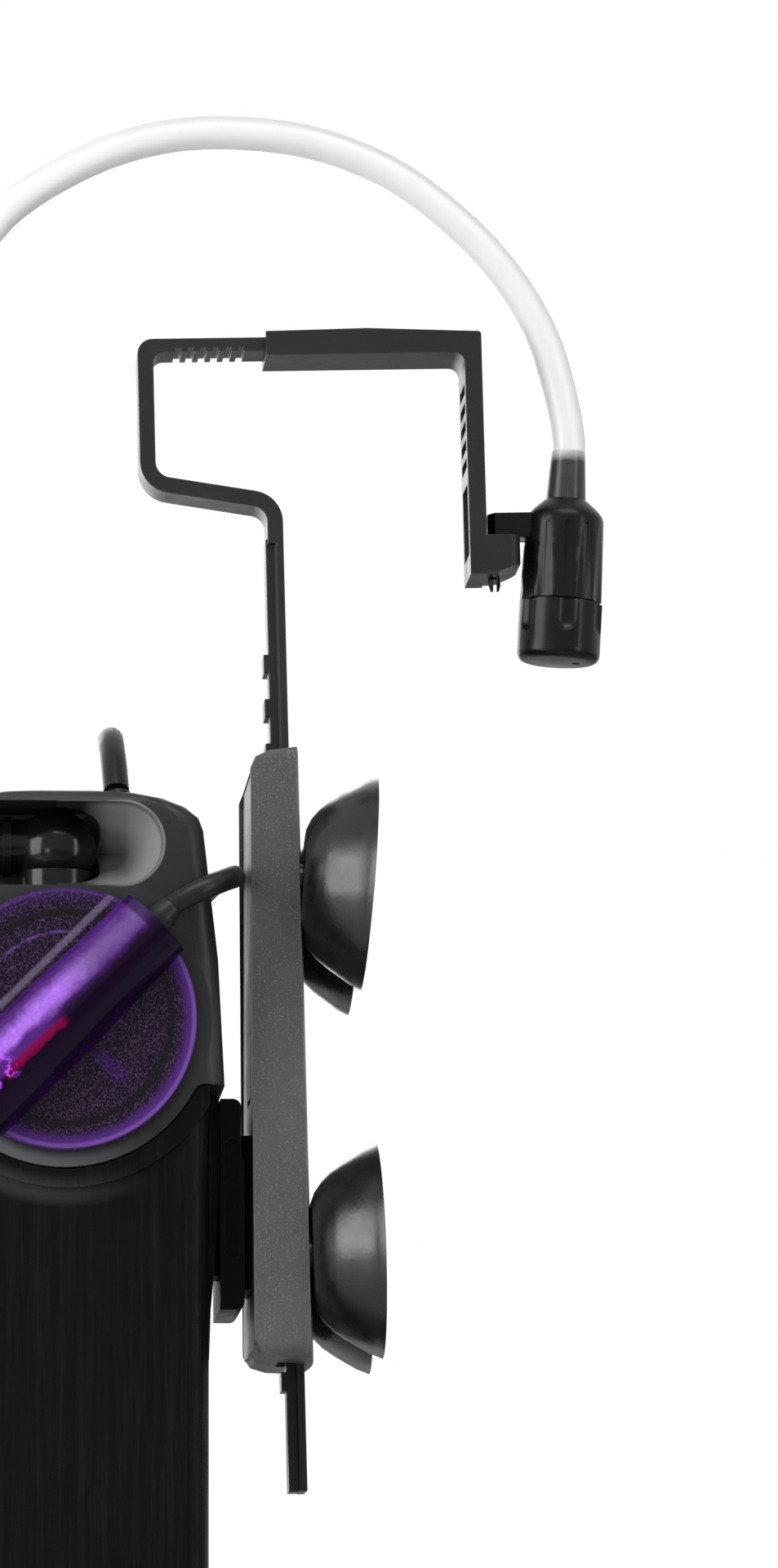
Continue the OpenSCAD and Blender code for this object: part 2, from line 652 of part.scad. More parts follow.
/* ---- Knob and UV lamp ---- */
// A round that runs along the grip, thick at one end and thinner at the cord's end
module grip_round(r_thick, r_thin, from_z, to_z) {
    rotate_extrude() polygon([[0, from_z], [r_thick, from_z], [r_thick, 0],
        [r_thick + (r_thin - r_thick) * to_z / grip_end, to_z], [0, to_z]]);
}
module knob() {
    color([0.62, 0.45, 0.85, 0.55]) difference() {
        union() {
            along_y(knob_front, knob_back) translate([0, knob_z]) circle(r = knob_r, $fn = 96);
            along_y(knob_back - eps, skirt_end) translate([0, knob_z]) difference() {
                circle(r = skirt_r, $fn = 96);
                circle(r = skirt_r - skirt_wall, $fn = 96);
            }
            intersection() {
                in_grip() grip_round(grip_r, grip_end_r, -grip_end, grip_end);
                block([-2 * knob_r, knob_front - 2 * grip_r, 0], [2 * knob_r, knob_front + 1, 2 * knob_z]);
            }
            translate([0, 0, knob_z]) rotate([90, 0, 0]) for (a = [0, 180]) rotate([0, 0, a])
                block([skirt_r - 1, -lug_w / 2, -lug_y1], [chamber_r + 1, lug_w / 2, -lug_y0]);
        }
        in_grip() grip_round(grip_r - grip_wall, grip_end_r - grip_wall,
            grip_wall - grip_end, grip_end - grip_wall);
        in_grip() translate([0, uv_gland_y, grip_end - 4]) cylinder(r = uv_gland_r + 0.02, h = 8);
        translate([0, 0, knob_z]) rotate([90, 0, 0])
            ring(skirt_r + cut, skirt_r - 1.85, -head_front - 2.4, -head_front - 0.6);
    }
}
module knob_oring() {
    color([0.02, 0.02, 0.02]) translate([0, head_front + 1.5, knob_z]) rotate([90, 0, 0])
        rotate_extrude($fn = 96) translate([skirt_r - 0.88, 0]) circle(r = 0.88, $fn = 24);
}
module lamp_base() {
    color([0.05, 0.04, 0.05]) in_grip() difference() {
        translate([0, lamp_y, 0]) {
            ring(sleeve_r - 0.1, 0, lamp_to, lamp_to + 5);
            ring(sleeve_r - 0.5, 0, lamp_to + 5, grip_end - grip_wall - 0.1);
        }
        translate([0, uv_gland_y, grip_end - 6]) cylinder(r = uv_gland_r + 0.05, h = 8);
    }
}
module uv_lamp() {
    color([0.85, 0.8, 0.95, 0.5]) in_grip() translate([0, lamp_y, 0]) {
        ring(lamp_r, 0, lamp_from, lamp_to);
        translate([0, 0, lamp_from]) sphere(r = lamp_r);
    }
}
module quartz_sleeve() {
    color([0.9, 0.88, 1, 0.3]) in_grip() translate([0, lamp_y, 0]) difference() {
        ring(sleeve_r, 0, lamp_from - 4.2, lamp_to);
        ring(sleeve_r - 0.7, 0, lamp_from - 3.7, lamp_to + cut);
    }
}
module uv_gland() {
    color([0.04, 0.04, 0.045]) in_grip() translate([0, uv_gland_y, grip_end - 5.8]) {
        cylinder(r = uv_gland_r, h = uv_gland_l);
        translate([0, 0, uv_gland_l]) cylinder(r1 = uv_gland_r, r2 = uv_r + 0.1, h = 3.2);
    }
}

/* ---- Bracket ---- */
module clip() {
    color([0.03, 0.03, 0.035]) difference() {
        union() {
            along_y(-clip_d / 2, clip_d / 2) {
                polygon([[clip_x0, clip_bottom], [clip_x1 - clip_corner, clip_bottom],
                    [clip_x1, clip_bottom + clip_corner], [clip_x1, clip_top - 12],
                    [clip_x1 - 0.6, clip_top - 9.5], [clip_x1 - 0.6, clip_top - clip_corner],
                    [clip_x1 - 0.6 - clip_corner, clip_top], [clip_x0, clip_top]]);
                translate([clip_x1 - 0.6 - clip_corner, clip_top - clip_corner]) circle(r = clip_corner);
                translate([clip_x1 - clip_corner, clip_bottom + clip_corner]) circle(r = clip_corner);
            }
            block([rail_x + 0.9, -tee_neck, tee_bottom], [clip_x0 + 0.5, tee_neck, tee_top]);
            block([rail_x + 0.3, -tee_w, tee_bottom], [rail_x + 1.05, tee_w, tee_top]);
            block([clip_x1 - 1, -10, clip_bottom + 4], [plate_x0 + 0.6, 10, clip_top - 6]);
        }
        for (s = [-1, 1]) translate([0, s * clip_d / 2, 0]) along_y(-0.6, 0.6)
            translate([(clip_x0 + clip_x1) / 2, (clip_top + clip_bottom) / 2 + 1])
                rounded_rect(clip_x1 - clip_x0 - 1.7, 21, 1.2);
    }
}
module back_plate() {
    tooth_x = hang_x - 4.5;
    color([0.17, 0.17, 0.18]) difference() {
        union() {
            along_x(plate_x0, plate_x1) translate([0, (plate_bottom + plate_top) / 2])
                rounded_rect(plate_d, plate_top - plate_bottom, 3);
            along_y(-4.4, 4.4) polygon([[plate_x1 - 0.2, hang_z + 2], [tooth_x, hang_z - 1],
                [tooth_x, hang_z - 2.4], [plate_x1 - 0.2, hang_z - 3]]);
        }
        for (s = [-1, 1]) block([plate_x0 - cut, s * 5.2 - 0.5, hang_z - 5],
            [plate_x1 + cut, s * 5.2 + 0.5, hang_z + 18]);
        block([plate_x0 - cut, -5.2, hang_z - 5], [plate_x1 + cut, 5.2, hang_z - 4]);
    }
}
module sucker_at(row, column) {
    tilt = row > 0 ? 4.3 : -1.9;
    z = sucker_z + row * sucker_pitch_z / 2;
    y = column * sucker_pitch_y / 2;
    dip = crown_r - sqrt(crown_r * crown_r - y * y);
    in_hanger() translate([crown_x - dip, y, z]) rotate([0, 90 + hanger_lean + tilt, 0]) children();
}
module shell_outline() {
    foot_x1 = hang_x + 3.5 + tan(hanger_lean) * (hang_z - shell_bottom);
    foot_x0 = shell_x0 + shell_splay;
    polygon([[foot_x0, shell_bottom + 3], [foot_x0 + 1.3, shell_bottom + 0.9], [foot_x0 + 4, shell_bottom],
        [foot_x1 - 1.5, shell_bottom - 0.4], [foot_x1, shell_bottom + 1.2], [hang_x + 3.5, shell_top + 1.4],
        [shell_x0 + 3.4, shell_top], [shell_x0 + 0.9, shell_top - 1.2], [shell_x0, shell_top - 3.2]]);
}
module shell_hollow(from_y, to_y) {
    for (s = [-1, 1]) block([shell_x0 - cut, s * (from_y + to_y) / 2 - (to_y - from_y) / 2, plate_bottom + 2],
        [shell_x0 + 20, s * (from_y + to_y) / 2 + (to_y - from_y) / 2, plate_top - 2]);
}
module shell() {
    color([0.22, 0.22, 0.235]) difference() {
        intersection() {
            along_y(-shell_d / 2, shell_d / 2) shell_outline();
            along_x(shell_x0, shell_x0 + 20) translate([0, (shell_bottom + shell_top + 1) / 2])
                rounded_rect(shell_d, shell_top + 1.8 - shell_bottom, 3);
            in_hanger() translate([crown_x - crown_r, 0, shell_bottom - 20])
                cylinder(r = crown_r, h = shell_h + 40, $fn = 200);
        }
        in_hanger() block([-4.7, -strap_w / 2 - slack, shell_bottom - 20],
            [slack, strap_w / 2 + slack, shell_top + 20]);
        intersection() {
            in_hanger() translate([crown_x - crown_r - 1.8, 0, shell_bottom - 20])
                cylinder(r = crown_r, h = shell_h + 40, $fn = 200);
            shell_hollow(pocket_y0, pocket_y1);
        }
        along_x(shell_x0 - cut, plate_x1) translate([0, (plate_bottom + plate_top) / 2])
            rounded_rect(plate_d + 0.04, plate_top - plate_bottom + 0.04, 3);
        block([plate_x1 - cut, -5.4, hang_z - 6], [plate_x1 + 4, 5.4, hang_z + 19]);
        for (row = [-1, 1], column = [-1, 1]) sucker_at(row, column) {
            ring(sucker_neck + 0.02, 0, -8, 8);
            ring(sucker_head + 0.1, 0, -8, -1.9);
        }
    }
}
module sucker(row, column) {
    rim = sucker_r;
    color([0.04, 0.04, 0.045]) sucker_at(row, column) rotate_extrude($fn = 96) polygon([
        [0, -3.9], [sucker_head - 0.4, -3.9], [sucker_head, -3.2], [sucker_head, -2.2],
        [sucker_neck, -2], [sucker_neck, 0.3], [8.9, 0.35], [rim - 8.3, 1.1], [rim - 6.6, 2.3],
        [rim - 5, 3.9], [rim - 3.6, 5.8], [rim - 2.2, 8], [rim - 1, 10], [rim - 0.2, sucker_depth - 0.3],
        [rim, sucker_depth], [rim - 0.8, sucker_depth + 0.1], [rim - 2.1, sucker_depth - 2.1],
        [rim - 4, sucker_depth - 4.6], [rim - 6.4, 5.2], [rim - 9.2, 3.3], [6, 2.5], [0, 2.3]]);
}

/* ---- Rim hanger ---- */
function arc_points(c, r, a0, a1) = [for (i = [0:10])
    let (a = a0 + (a1 - a0) * i / 10) c + r * [cos(a), sin(a)]];

// Side outline of the strap: up along the plate, over the head, up again and out along the rim
module strap_outline() {
    top_z = arm_z + arm_t;
    inner = bend_outer - bar_t;
    low = [-bend_outer, bend_z];
    high = low + 2 * bend_mid * [cos(bend_turn), sin(bend_turn)]
        + diagonal * [-sin(bend_turn), cos(bend_turn)];
    rise_x = high[0] - bend_outer;
    corner = [rise_x + corner_outer, top_z - corner_outer];
    difference() {
        polygon(concat(
            [[-strip_t, strap_bottom], [0, strap_bottom]],
            arc_points(low, bend_outer, 0, bend_turn),
            arc_points(high, inner, 180 + bend_turn, 180),
            [[rise_x + bar_t, arm_z - 2]],
            arc_points([rise_x + bar_t + 2, arm_z - 2], 2, 180, 90),
            [[arm_end, arm_z], [arm_end, top_z]],
            arc_points(corner, corner_outer, 90, 180),
            arc_points(high, bend_outer, 180, 180 + bend_turn),
            arc_points(low, inner, bend_turn, 0),
            [[-bar_t, bend_z - 4], [-strip_t, bend_z - 4]]));
        for (i = [0:5]) translate([-18.9 + i * notch_pitch, arm_z - cut])
            square([notch_w, cut + 0.7]);
    }
}
module strap() {
    color([0.2, 0.2, 0.21]) in_hanger() {
        along_y(-strap_w / 2, strap_w / 2) strap_outline();
        along_y(-rib_w / 2, rib_w / 2) {
            translate([-strip_t - rib_t, strap_bottom]) square([rib_t + 0.1, bend_z - 3 - strap_bottom]);
            for (z = [strap_bottom + 17.9:tooth_pitch:bend_z - 20])
                translate([-strip_t - rib_t - tooth_t, z]) square([tooth_t + 0.5, tooth_h]);
        }
    }
}
module hook() {
    color([0.12, 0.12, 0.125]) in_hanger() difference() {
        union() {
            along_y(-hook_w / 2, hook_w / 2) {
                polygon([[hook_x0, hook_z0], [leg_x, hook_z0], [leg_x, hook_z1 - 0.9], [leg_x - 0.6, hook_z1 - 0.3],
                    [hook_peak, hook_z1 + 0.5], [hook_x0, hook_z1 + 0.2]]);
                translate([leg_x - 0.6, hook_z1 - 0.9]) circle(r = 0.6);
                translate([rim_gap, leg_bottom]) square([leg_t, hook_z1 - leg_bottom - 1]);
                difference() {
                    translate([rim_gap - 2, hook_z0 - 2]) square([2.1, 2.1]);
                    translate([rim_gap - 2, hook_z0 - 2]) circle(r = 2);
                }
            }
            intersection() {
                translate([0, 0, foot_z0]) linear_extrude(foot_z1 - foot_z0) {
                    translate([rim_gap, -hook_w / 2]) square([foot_x - foot_round - rim_gap, hook_w]);
                    translate([rim_gap, -hook_w / 2 + foot_round])
                        square([foot_x - rim_gap, hook_w - 2 * foot_round]);
                    for (s = [-1, 1]) translate([foot_x - foot_round, s * (hook_w / 2 - foot_round)])
                        circle(r = foot_round);
                }
                along_y(-hook_w, hook_w) polygon([[rim_gap, foot_z0], [leg_x + 2, foot_z0],
                    [foot_x, foot_z0 + foot_rise], [foot_x, foot_z1], [rim_gap, foot_z1]]);
            }
        }
        block([hook_x0 - cut, -strap_w / 2 - slack, arm_z - slack],
            [pocket_end, strap_w / 2 + slack, arm_z + arm_t + slack]);
        block([leg_x - 12, -4.4, arm_z], [pocket_end, 4.4, hook_z1 + cut]);
        block([rim_gap - cut, -5.6, leg_bottom + 4], [rim_gap + 0.9, 5.6, leg_bottom + 17]);
        for (z = [leg_bottom + 20:3.4:leg_bottom + 34])
            block([rim_gap - cut, -5.6, z], [rim_gap + 0.7, 5.6, z + 1.9]);
        translate([pin_x, 0, 0]) ring(pin_r + fit, 0, foot_z0 - cut, foot_z1 + cut);
    }
}

/* ---- Air regulator and hose ---- */
module regulator() {
    color([0.03, 0.03, 0.035]) {
        in_regulator() difference() {
            union() {
                ring(pin_r, 0, -8.4, 1);
                translate([0, 0, -9.4]) cylinder(r1 = pin_r - 0.3, r2 = pin_r, h = 1.1);
                translate([0, 0, 0.1]) linear_extrude(4.5) polygon([[-1, -1], [0.2, -arm_w / 2],
                    [reg_x - 6, -arm_w / 2], [reg_x - 6, arm_w / 2], [0.2, arm_w / 2], [-1, 1]]);
            }
            block([-0.3, -3, -10], [0.3, 3, -4]);
        }
        in_regulator_body() difference() {
            union() {
                translate([0, 0, body_foot]) cylinder(r1 = regulator_r, r2 = reg_top_r, h = 4.5 - body_foot);
                rotate_extrude($fn = 96) polygon(shoulder);
                ring(barb_r, 0, shoulder_z - 0.1, shoulder_z + barb_h - 1.6);
                translate([0, 0, shoulder_z + barb_h - 1.6])
                    cylinder(r1 = barb_r, r2 = barb_r - 1, h = 1.6);
                ring(spigot_r, 0, body_foot - 5, body_foot + 1);
            }
            for (a = [0:30:330]) rotate([0, 0, a])
                translate([regulator_r + flute_r - flute_depth, 0, body_foot - cut])
                    cylinder(r = flute_r, h = flute_top - body_foot + cut);
            ring(1.1, 0, body_foot - 6, shoulder_z + barb_h + cut);
            ring(3.4, 0, body_foot - 6, body_foot + 6);
        }
    }
}
module regulator_cap() {
    color([0.03, 0.03, 0.035]) in_regulator_body() difference() {
        rotate_extrude($fn = 96) polygon(concat([[0, cap_top], [0, cap_foot]],
            arc_points([cap_r - cap_round, cap_foot + cap_round], cap_round, -90, 0), [[cap_r, cap_top]]));
        ring(spigot_r + fit, 0, cap_foot + 2, cap_top + cut);
        for (a = [35:60:335]) rotate([0, 0, a])
            translate([cap_r + dimple_r - dimple_depth, 0, cap_foot + dimple_rise]) {
                sphere(r = dimple_r);
                cylinder(r = dimple_r, h = cap_top - cap_foot);
            }
        translate([3.4, 0, cap_foot - cut]) cylinder(r = 0.8, h = 4, $fn = 24);
    }
}
module regulator_needle() {
    color([0.7, 0.7, 0.68]) in_regulator_body() {
        ring(2.6, 0, cap_foot + 2, cap_foot + 5);
        translate([0, 0, cap_foot + 5]) cylinder(r1 = 1.8, r2 = 0.8, h = 14);
    }
}
module hose_end(barb, from_z, to_z) {
    difference() {
        translate([0, 0, from_z]) cylinder(r1 = hose_r + 0.65, r2 = hose_r + 0.1, h = to_z - from_z);
        translate([0, 0, from_z - cut]) cylinder(r = barb + 0.01, h = to_z - from_z + 2 * cut);
    }
}
module hose_end_regulator() {
    color([0.9, 0.92, 0.92, 0.4]) in_regulator_body() hose_end(barb_r, shoulder_z, shoulder_z + barb_h + 1);
}
module hose_end_nozzle() {
    color([0.9, 0.92, 0.92, 0.4]) translate([nipple_x, nozzle_y, 0])
        hose_end(nipple_r, spout_z + spout_r + 1.2, nipple_top + 1);
}

/* ---- Cords and hose ---- */
function unit(v) = v / norm(v);
function heading(p, i) = unit(i == 0 ? p[1] - p[0] : i == len(p) - 1 ? p[i] - p[i - 1]
    : unit(p[i + 1] - p[i]) + unit(p[i] - p[i - 1]));
function across(n, t) = unit(n - t * (n * t));
function sideways(p) = [for (i = 0, n = across([0.3, 1, 0.2], heading(p, 0)); i < len(p);
    i = i + 1, n = i < len(p) ? across(n, heading(p, i)) : n) n];

// A round tube swept along the points of a route
module tube(route, r, sides) {
    side_list = sideways(route);
    rings = [for (i = [0:len(route) - 1])
        let (t = heading(route, i), n = side_list[i], b = cross(t, n))
        for (k = [0:sides - 1]) route[i] + r * (cos(360 * k / sides) * n + sin(360 * k / sides) * b)];
    last = (len(route) - 1) * sides;
    faces = concat(
        [[for (k = [0:sides - 1]) k]],
        [for (i = [0:len(route) - 2], k = [0:sides - 1])
            let (a = i * sides + k, b = i * sides + (k + 1) % sides)
            [a, a + sides, b + sides, b]],
        [[for (k = [sides - 1:-1:0]) last + k]]);
    polyhedron(rings, faces, convexity = 10);
}
module coil(at, r, cord_r, across_n) {
    half = cord_r * across_n;
    translate([at[0], at[1], coil_rest]) rotate_extrude() translate([r, cord_r * 2])
        rounded_rect(2 * half, 4 * cord_r, cord_r * 0.9, $fn = 16);
}
module coil_tie(at, r, cord_r, across_n) {
    half = cord_r * across_n + 0.8;
    high = 4 * cord_r + coil_rest + 0.8;
    translate([at[0], at[1] + r, 0]) along_x(-1.5, 1.5) difference() {
        translate([0, high / 2]) rounded_rect(2 * half, high, 1.6);
        translate([0, high / 2]) rounded_rect(2 * half - 1.6, high - 1.6, 1);
    }
}
module plug_body(at, cord_r) {
    translate(at) rotate([90, 0, 0]) {
        cylinder(r1 = cord_r + 0.6, r2 = 5, h = relief_l);
        translate([0, 0, relief_l]) hull() {
            linear_extrude(eps) rounded_rect(16, plug_h - 2, 4, $fn = 32);
            translate([0, 0, 10]) linear_extrude(eps) rounded_rect(plug_w - 4, plug_h, 5, $fn = 32);
            translate([0, 0, plug_l - 8]) linear_extrude(eps) rounded_rect(plug_w, plug_h, 5, $fn = 32);
            translate([0, 0, plug_l]) linear_extrude(eps) rounded_rect(26, plug_h - 3, 4, $fn = 32);
        }
    }
}
module plug_pins(at) {
    translate(at) rotate([90, 0, 0]) for (s = [-1, 1]) translate([s * 9.3, 0, relief_l + plug_l])
        cylinder(r = 2, h = 19);
}
module air_hose() {
    color([0.9, 0.92, 0.92, 0.4]) tube(hose_route, hose_r, 12);
}
module mains_cord() {
    color([0.06, 0.06, 0.06]) tube(mains_route, mains_r, 8);
}
module mains_coil() {
    color([0.06, 0.06, 0.06]) coil(mains_coil_at, mains_coil_r, mains_r, 3);
}
module mains_tail() {
    color([0.06, 0.06, 0.06]) tube(mains_tail_route, mains_r, 8);
}
module mains_tie() {
    color([0.08, 0.08, 0.08]) coil_tie(mains_coil_at, mains_coil_r, mains_r, 3);
}
module mains_plug() {
    color([0.05, 0.05, 0.05]) plug_body(mains_plug_at, mains_r);
}
module mains_pins() {
    color([0.8, 0.8, 0.8]) plug_pins(mains_plug_at);
}
module uv_cord() {
    color([0.06, 0.06, 0.06]) tube(uv_route, uv_r, 8);
}
module uv_coil() {
    color([0.06, 0.06, 0.06]) coil(uv_coil_at, uv_coil_r, uv_r, 3);
}
module uv_tail() {
    color([0.06, 0.06, 0.06]) tube(uv_tail_route, uv_r, 8);
}
module uv_tie() {
    color([0.08, 0.08, 0.08]) coil_tie(uv_coil_at, uv_coil_r, uv_r, 3);
}
module uv_plug() {
    color([0.05, 0.05, 0.05]) plug_body(uv_plug_at, uv_r);
}
module uv_pins() {
    color([0.8, 0.8, 0.8]) plug_pins(uv_plug_at);
}

cup();
sponge();
intake_tube();
media_tray();
carbon_pad();
fleece_pad();
head();
stator_core();
winding();
rotor();
shaft();
bush_top();
bush_bottom();
impeller();
impeller_cover();
nozzle();
nozzle_oring();
knob();
knob_oring();
uv_lamp();
lamp_base();
quartz_sleeve();
uv_gland();
mains_gland();
clip();
back_plate();
shell();
sucker(1, -1);  // sucker_upper_front
sucker(1, 1);  // sucker_upper_rear
sucker(-1, -1);  // sucker_lower_front
sucker(-1, 1);  // sucker_lower_rear
strap();
hook();
regulator();
regulator_cap();
regulator_needle();
hose_end_regulator();
hose_end_nozzle();
air_hose();
mains_cord();
mains_coil();
mains_tail();
mains_tie();
mains_plug();
mains_pins();
uv_cord();
uv_coil();
uv_tail();
uv_tie();
uv_plug();
uv_pins();
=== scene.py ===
import bpy
import bmesh
import json
import math
from mathutils import Matrix, Vector

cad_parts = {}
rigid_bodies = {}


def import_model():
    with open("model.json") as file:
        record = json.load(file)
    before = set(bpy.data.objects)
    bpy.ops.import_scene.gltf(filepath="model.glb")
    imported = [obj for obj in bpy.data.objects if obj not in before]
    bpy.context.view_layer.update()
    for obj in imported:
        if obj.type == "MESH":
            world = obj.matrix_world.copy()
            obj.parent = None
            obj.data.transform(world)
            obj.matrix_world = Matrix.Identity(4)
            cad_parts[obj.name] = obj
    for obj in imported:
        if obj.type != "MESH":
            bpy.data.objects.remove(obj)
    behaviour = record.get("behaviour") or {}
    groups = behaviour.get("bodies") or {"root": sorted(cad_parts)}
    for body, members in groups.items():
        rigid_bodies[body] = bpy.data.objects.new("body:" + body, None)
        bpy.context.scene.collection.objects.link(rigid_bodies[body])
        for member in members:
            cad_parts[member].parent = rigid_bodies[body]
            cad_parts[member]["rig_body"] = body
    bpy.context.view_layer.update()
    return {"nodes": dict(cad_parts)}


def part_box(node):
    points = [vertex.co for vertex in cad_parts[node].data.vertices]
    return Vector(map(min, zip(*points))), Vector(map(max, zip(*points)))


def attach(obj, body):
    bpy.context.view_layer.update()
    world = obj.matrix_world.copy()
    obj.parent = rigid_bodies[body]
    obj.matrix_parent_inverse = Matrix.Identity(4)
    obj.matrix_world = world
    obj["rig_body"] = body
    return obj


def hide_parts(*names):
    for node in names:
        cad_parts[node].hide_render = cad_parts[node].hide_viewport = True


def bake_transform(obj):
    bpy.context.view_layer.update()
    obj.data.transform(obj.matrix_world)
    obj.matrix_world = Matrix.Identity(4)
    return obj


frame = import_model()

# Everything is in metres; mm turns a size in millimetres into metres
mm = 0.001
nodes = frame["nodes"]
headTop = 350.0
knobCentre = headTop - 41.3
knobFace = -34.0

view = {
    "place": (-30.5, -1383.7, 151.0),
    "turn": (8.39, -0.086, -3.684),      # degrees, as one rotation vector
    "lens": 118.64,
    "sensor": 24.0,
    "near": 0.05,
    "far": 30.0,
}


def makeCamera():
    data = bpy.data.cameras.new("camera")
    data.sensor_width = view["sensor"]
    data.lens = view["lens"]
    data.clip_start = view["near"]
    data.clip_end = view["far"]
    camera = bpy.data.objects.new("camera", data)
    bpy.context.scene.collection.objects.link(camera)
    turn = Vector([math.radians(a) for a in view["turn"]])
    aim = Matrix.Rotation(turn.length, 4, turn) @ Matrix.Rotation(math.radians(90), 4, "X")
    camera.matrix_world = Matrix.Translation(Vector(view["place"]) * mm) @ aim
    bpy.context.scene.camera = camera


# Each lamp: place and target in mm, size in mm, power in watts
lamps = {
    "keyBox": {"place": (-900, -520, 500), "aim": (0, 0, 330), "size": (620, 800), "power": 14.5},
    "sideBox": {"place": (640, -420, 400), "aim": (40, 0, 330), "size": (110, 560), "power": 1.5},
    "topBox": {"place": (160, -420, 1060), "aim": (20, 0, 340), "size": (620, 420), "power": 4.8},
    "frontBox": {"place": (-540, -1180, 190), "aim": (0, 0, 340), "size": (260, 240), "power": 1.5},
    "rearBox": {"place": (-250, 760, 520), "aim": (0, 0, 300), "size": (600, 600), "power": 3.0},
}


def makeLamps():
    for name, lamp in lamps.items():
        data = bpy.data.lights.new(name, "AREA")
        data.shape = "RECTANGLE"
        data.size = lamp["size"][0] * mm
        data.size_y = lamp["size"][1] * mm
        data.energy = lamp["power"]
        piece = bpy.data.objects.new(name, data)
        bpy.context.scene.collection.objects.link(piece)
        place = Vector(lamp["place"]) * mm
        aim = (Vector(lamp["aim"]) * mm - place).to_track_quat("-Z", "Y")
        piece.matrix_world = Matrix.Translation(place) @ aim.to_matrix().to_4x4()


# The world is white where it is seen and much softer as a light; the floor's reach is in metres
room = {
    "softLight": 0.20, "whiteLight": 1.0,
    "floorReach": 3.0, "floorColor": (0.76, 0.76, 0.77), "floorRough": 0.7,
}


def makeWorld():
    world = bpy.data.worlds.new("studio")
    world.use_nodes = True
    bpy.context.scene.world = world
    tree = world.node_tree
    tree.nodes.clear()
    rays = tree.nodes.new("ShaderNodeLightPath")
    seen = rays.outputs["Is Camera Ray"]
    for kind in ("Is Transmission Ray", "Is Glossy Ray"):
        either = tree.nodes.new("ShaderNodeMath")
        either.operation = "MAXIMUM"
        tree.links.new(seen, either.inputs[0])
        tree.links.new(rays.outputs[kind], either.inputs[1])
        seen = either.outputs[0]
    mix = tree.nodes.new("ShaderNodeMixShader")
    tree.links.new(seen, mix.inputs[0])
    for socket, strength in ((1, room["softLight"]), (2, room["whiteLight"])):
        light = tree.nodes.new("ShaderNodeBackground")
        light.inputs["Color"].default_value = (1, 1, 1, 1)
        light.inputs["Strength"].default_value = strength
        tree.links.new(light.outputs[0], mix.inputs[socket])
    out = tree.nodes.new("ShaderNodeOutputWorld")
    tree.links.new(mix.outputs[0], out.inputs["Surface"])


def makeFloor():
    bm = bmesh.new()
    bmesh.ops.create_grid(bm, x_segments=1, y_segments=1, size=room["floorReach"])
    mesh = bpy.data.meshes.new("floor")
    bm.to_mesh(mesh)
    bm.free()
    floor = bpy.data.objects.new("floor", mesh)
    bpy.context.scene.collection.objects.link(floor)
    material = bpy.data.materials.new("paleFloor")
    material.use_nodes = True
    shader = material.node_tree.nodes["Principled BSDF"]
    shader.inputs["Base Color"].default_value = (*room["floorColor"], 1)
    shader.inputs["Roughness"].default_value = room["floorRough"]
    mesh.materials.append(material)


makeCamera()
makeLamps()
makeWorld()
makeFloor()
bpy.context.scene.view_settings.view_transform = "Standard"
print("camera, lamps and floor are made")


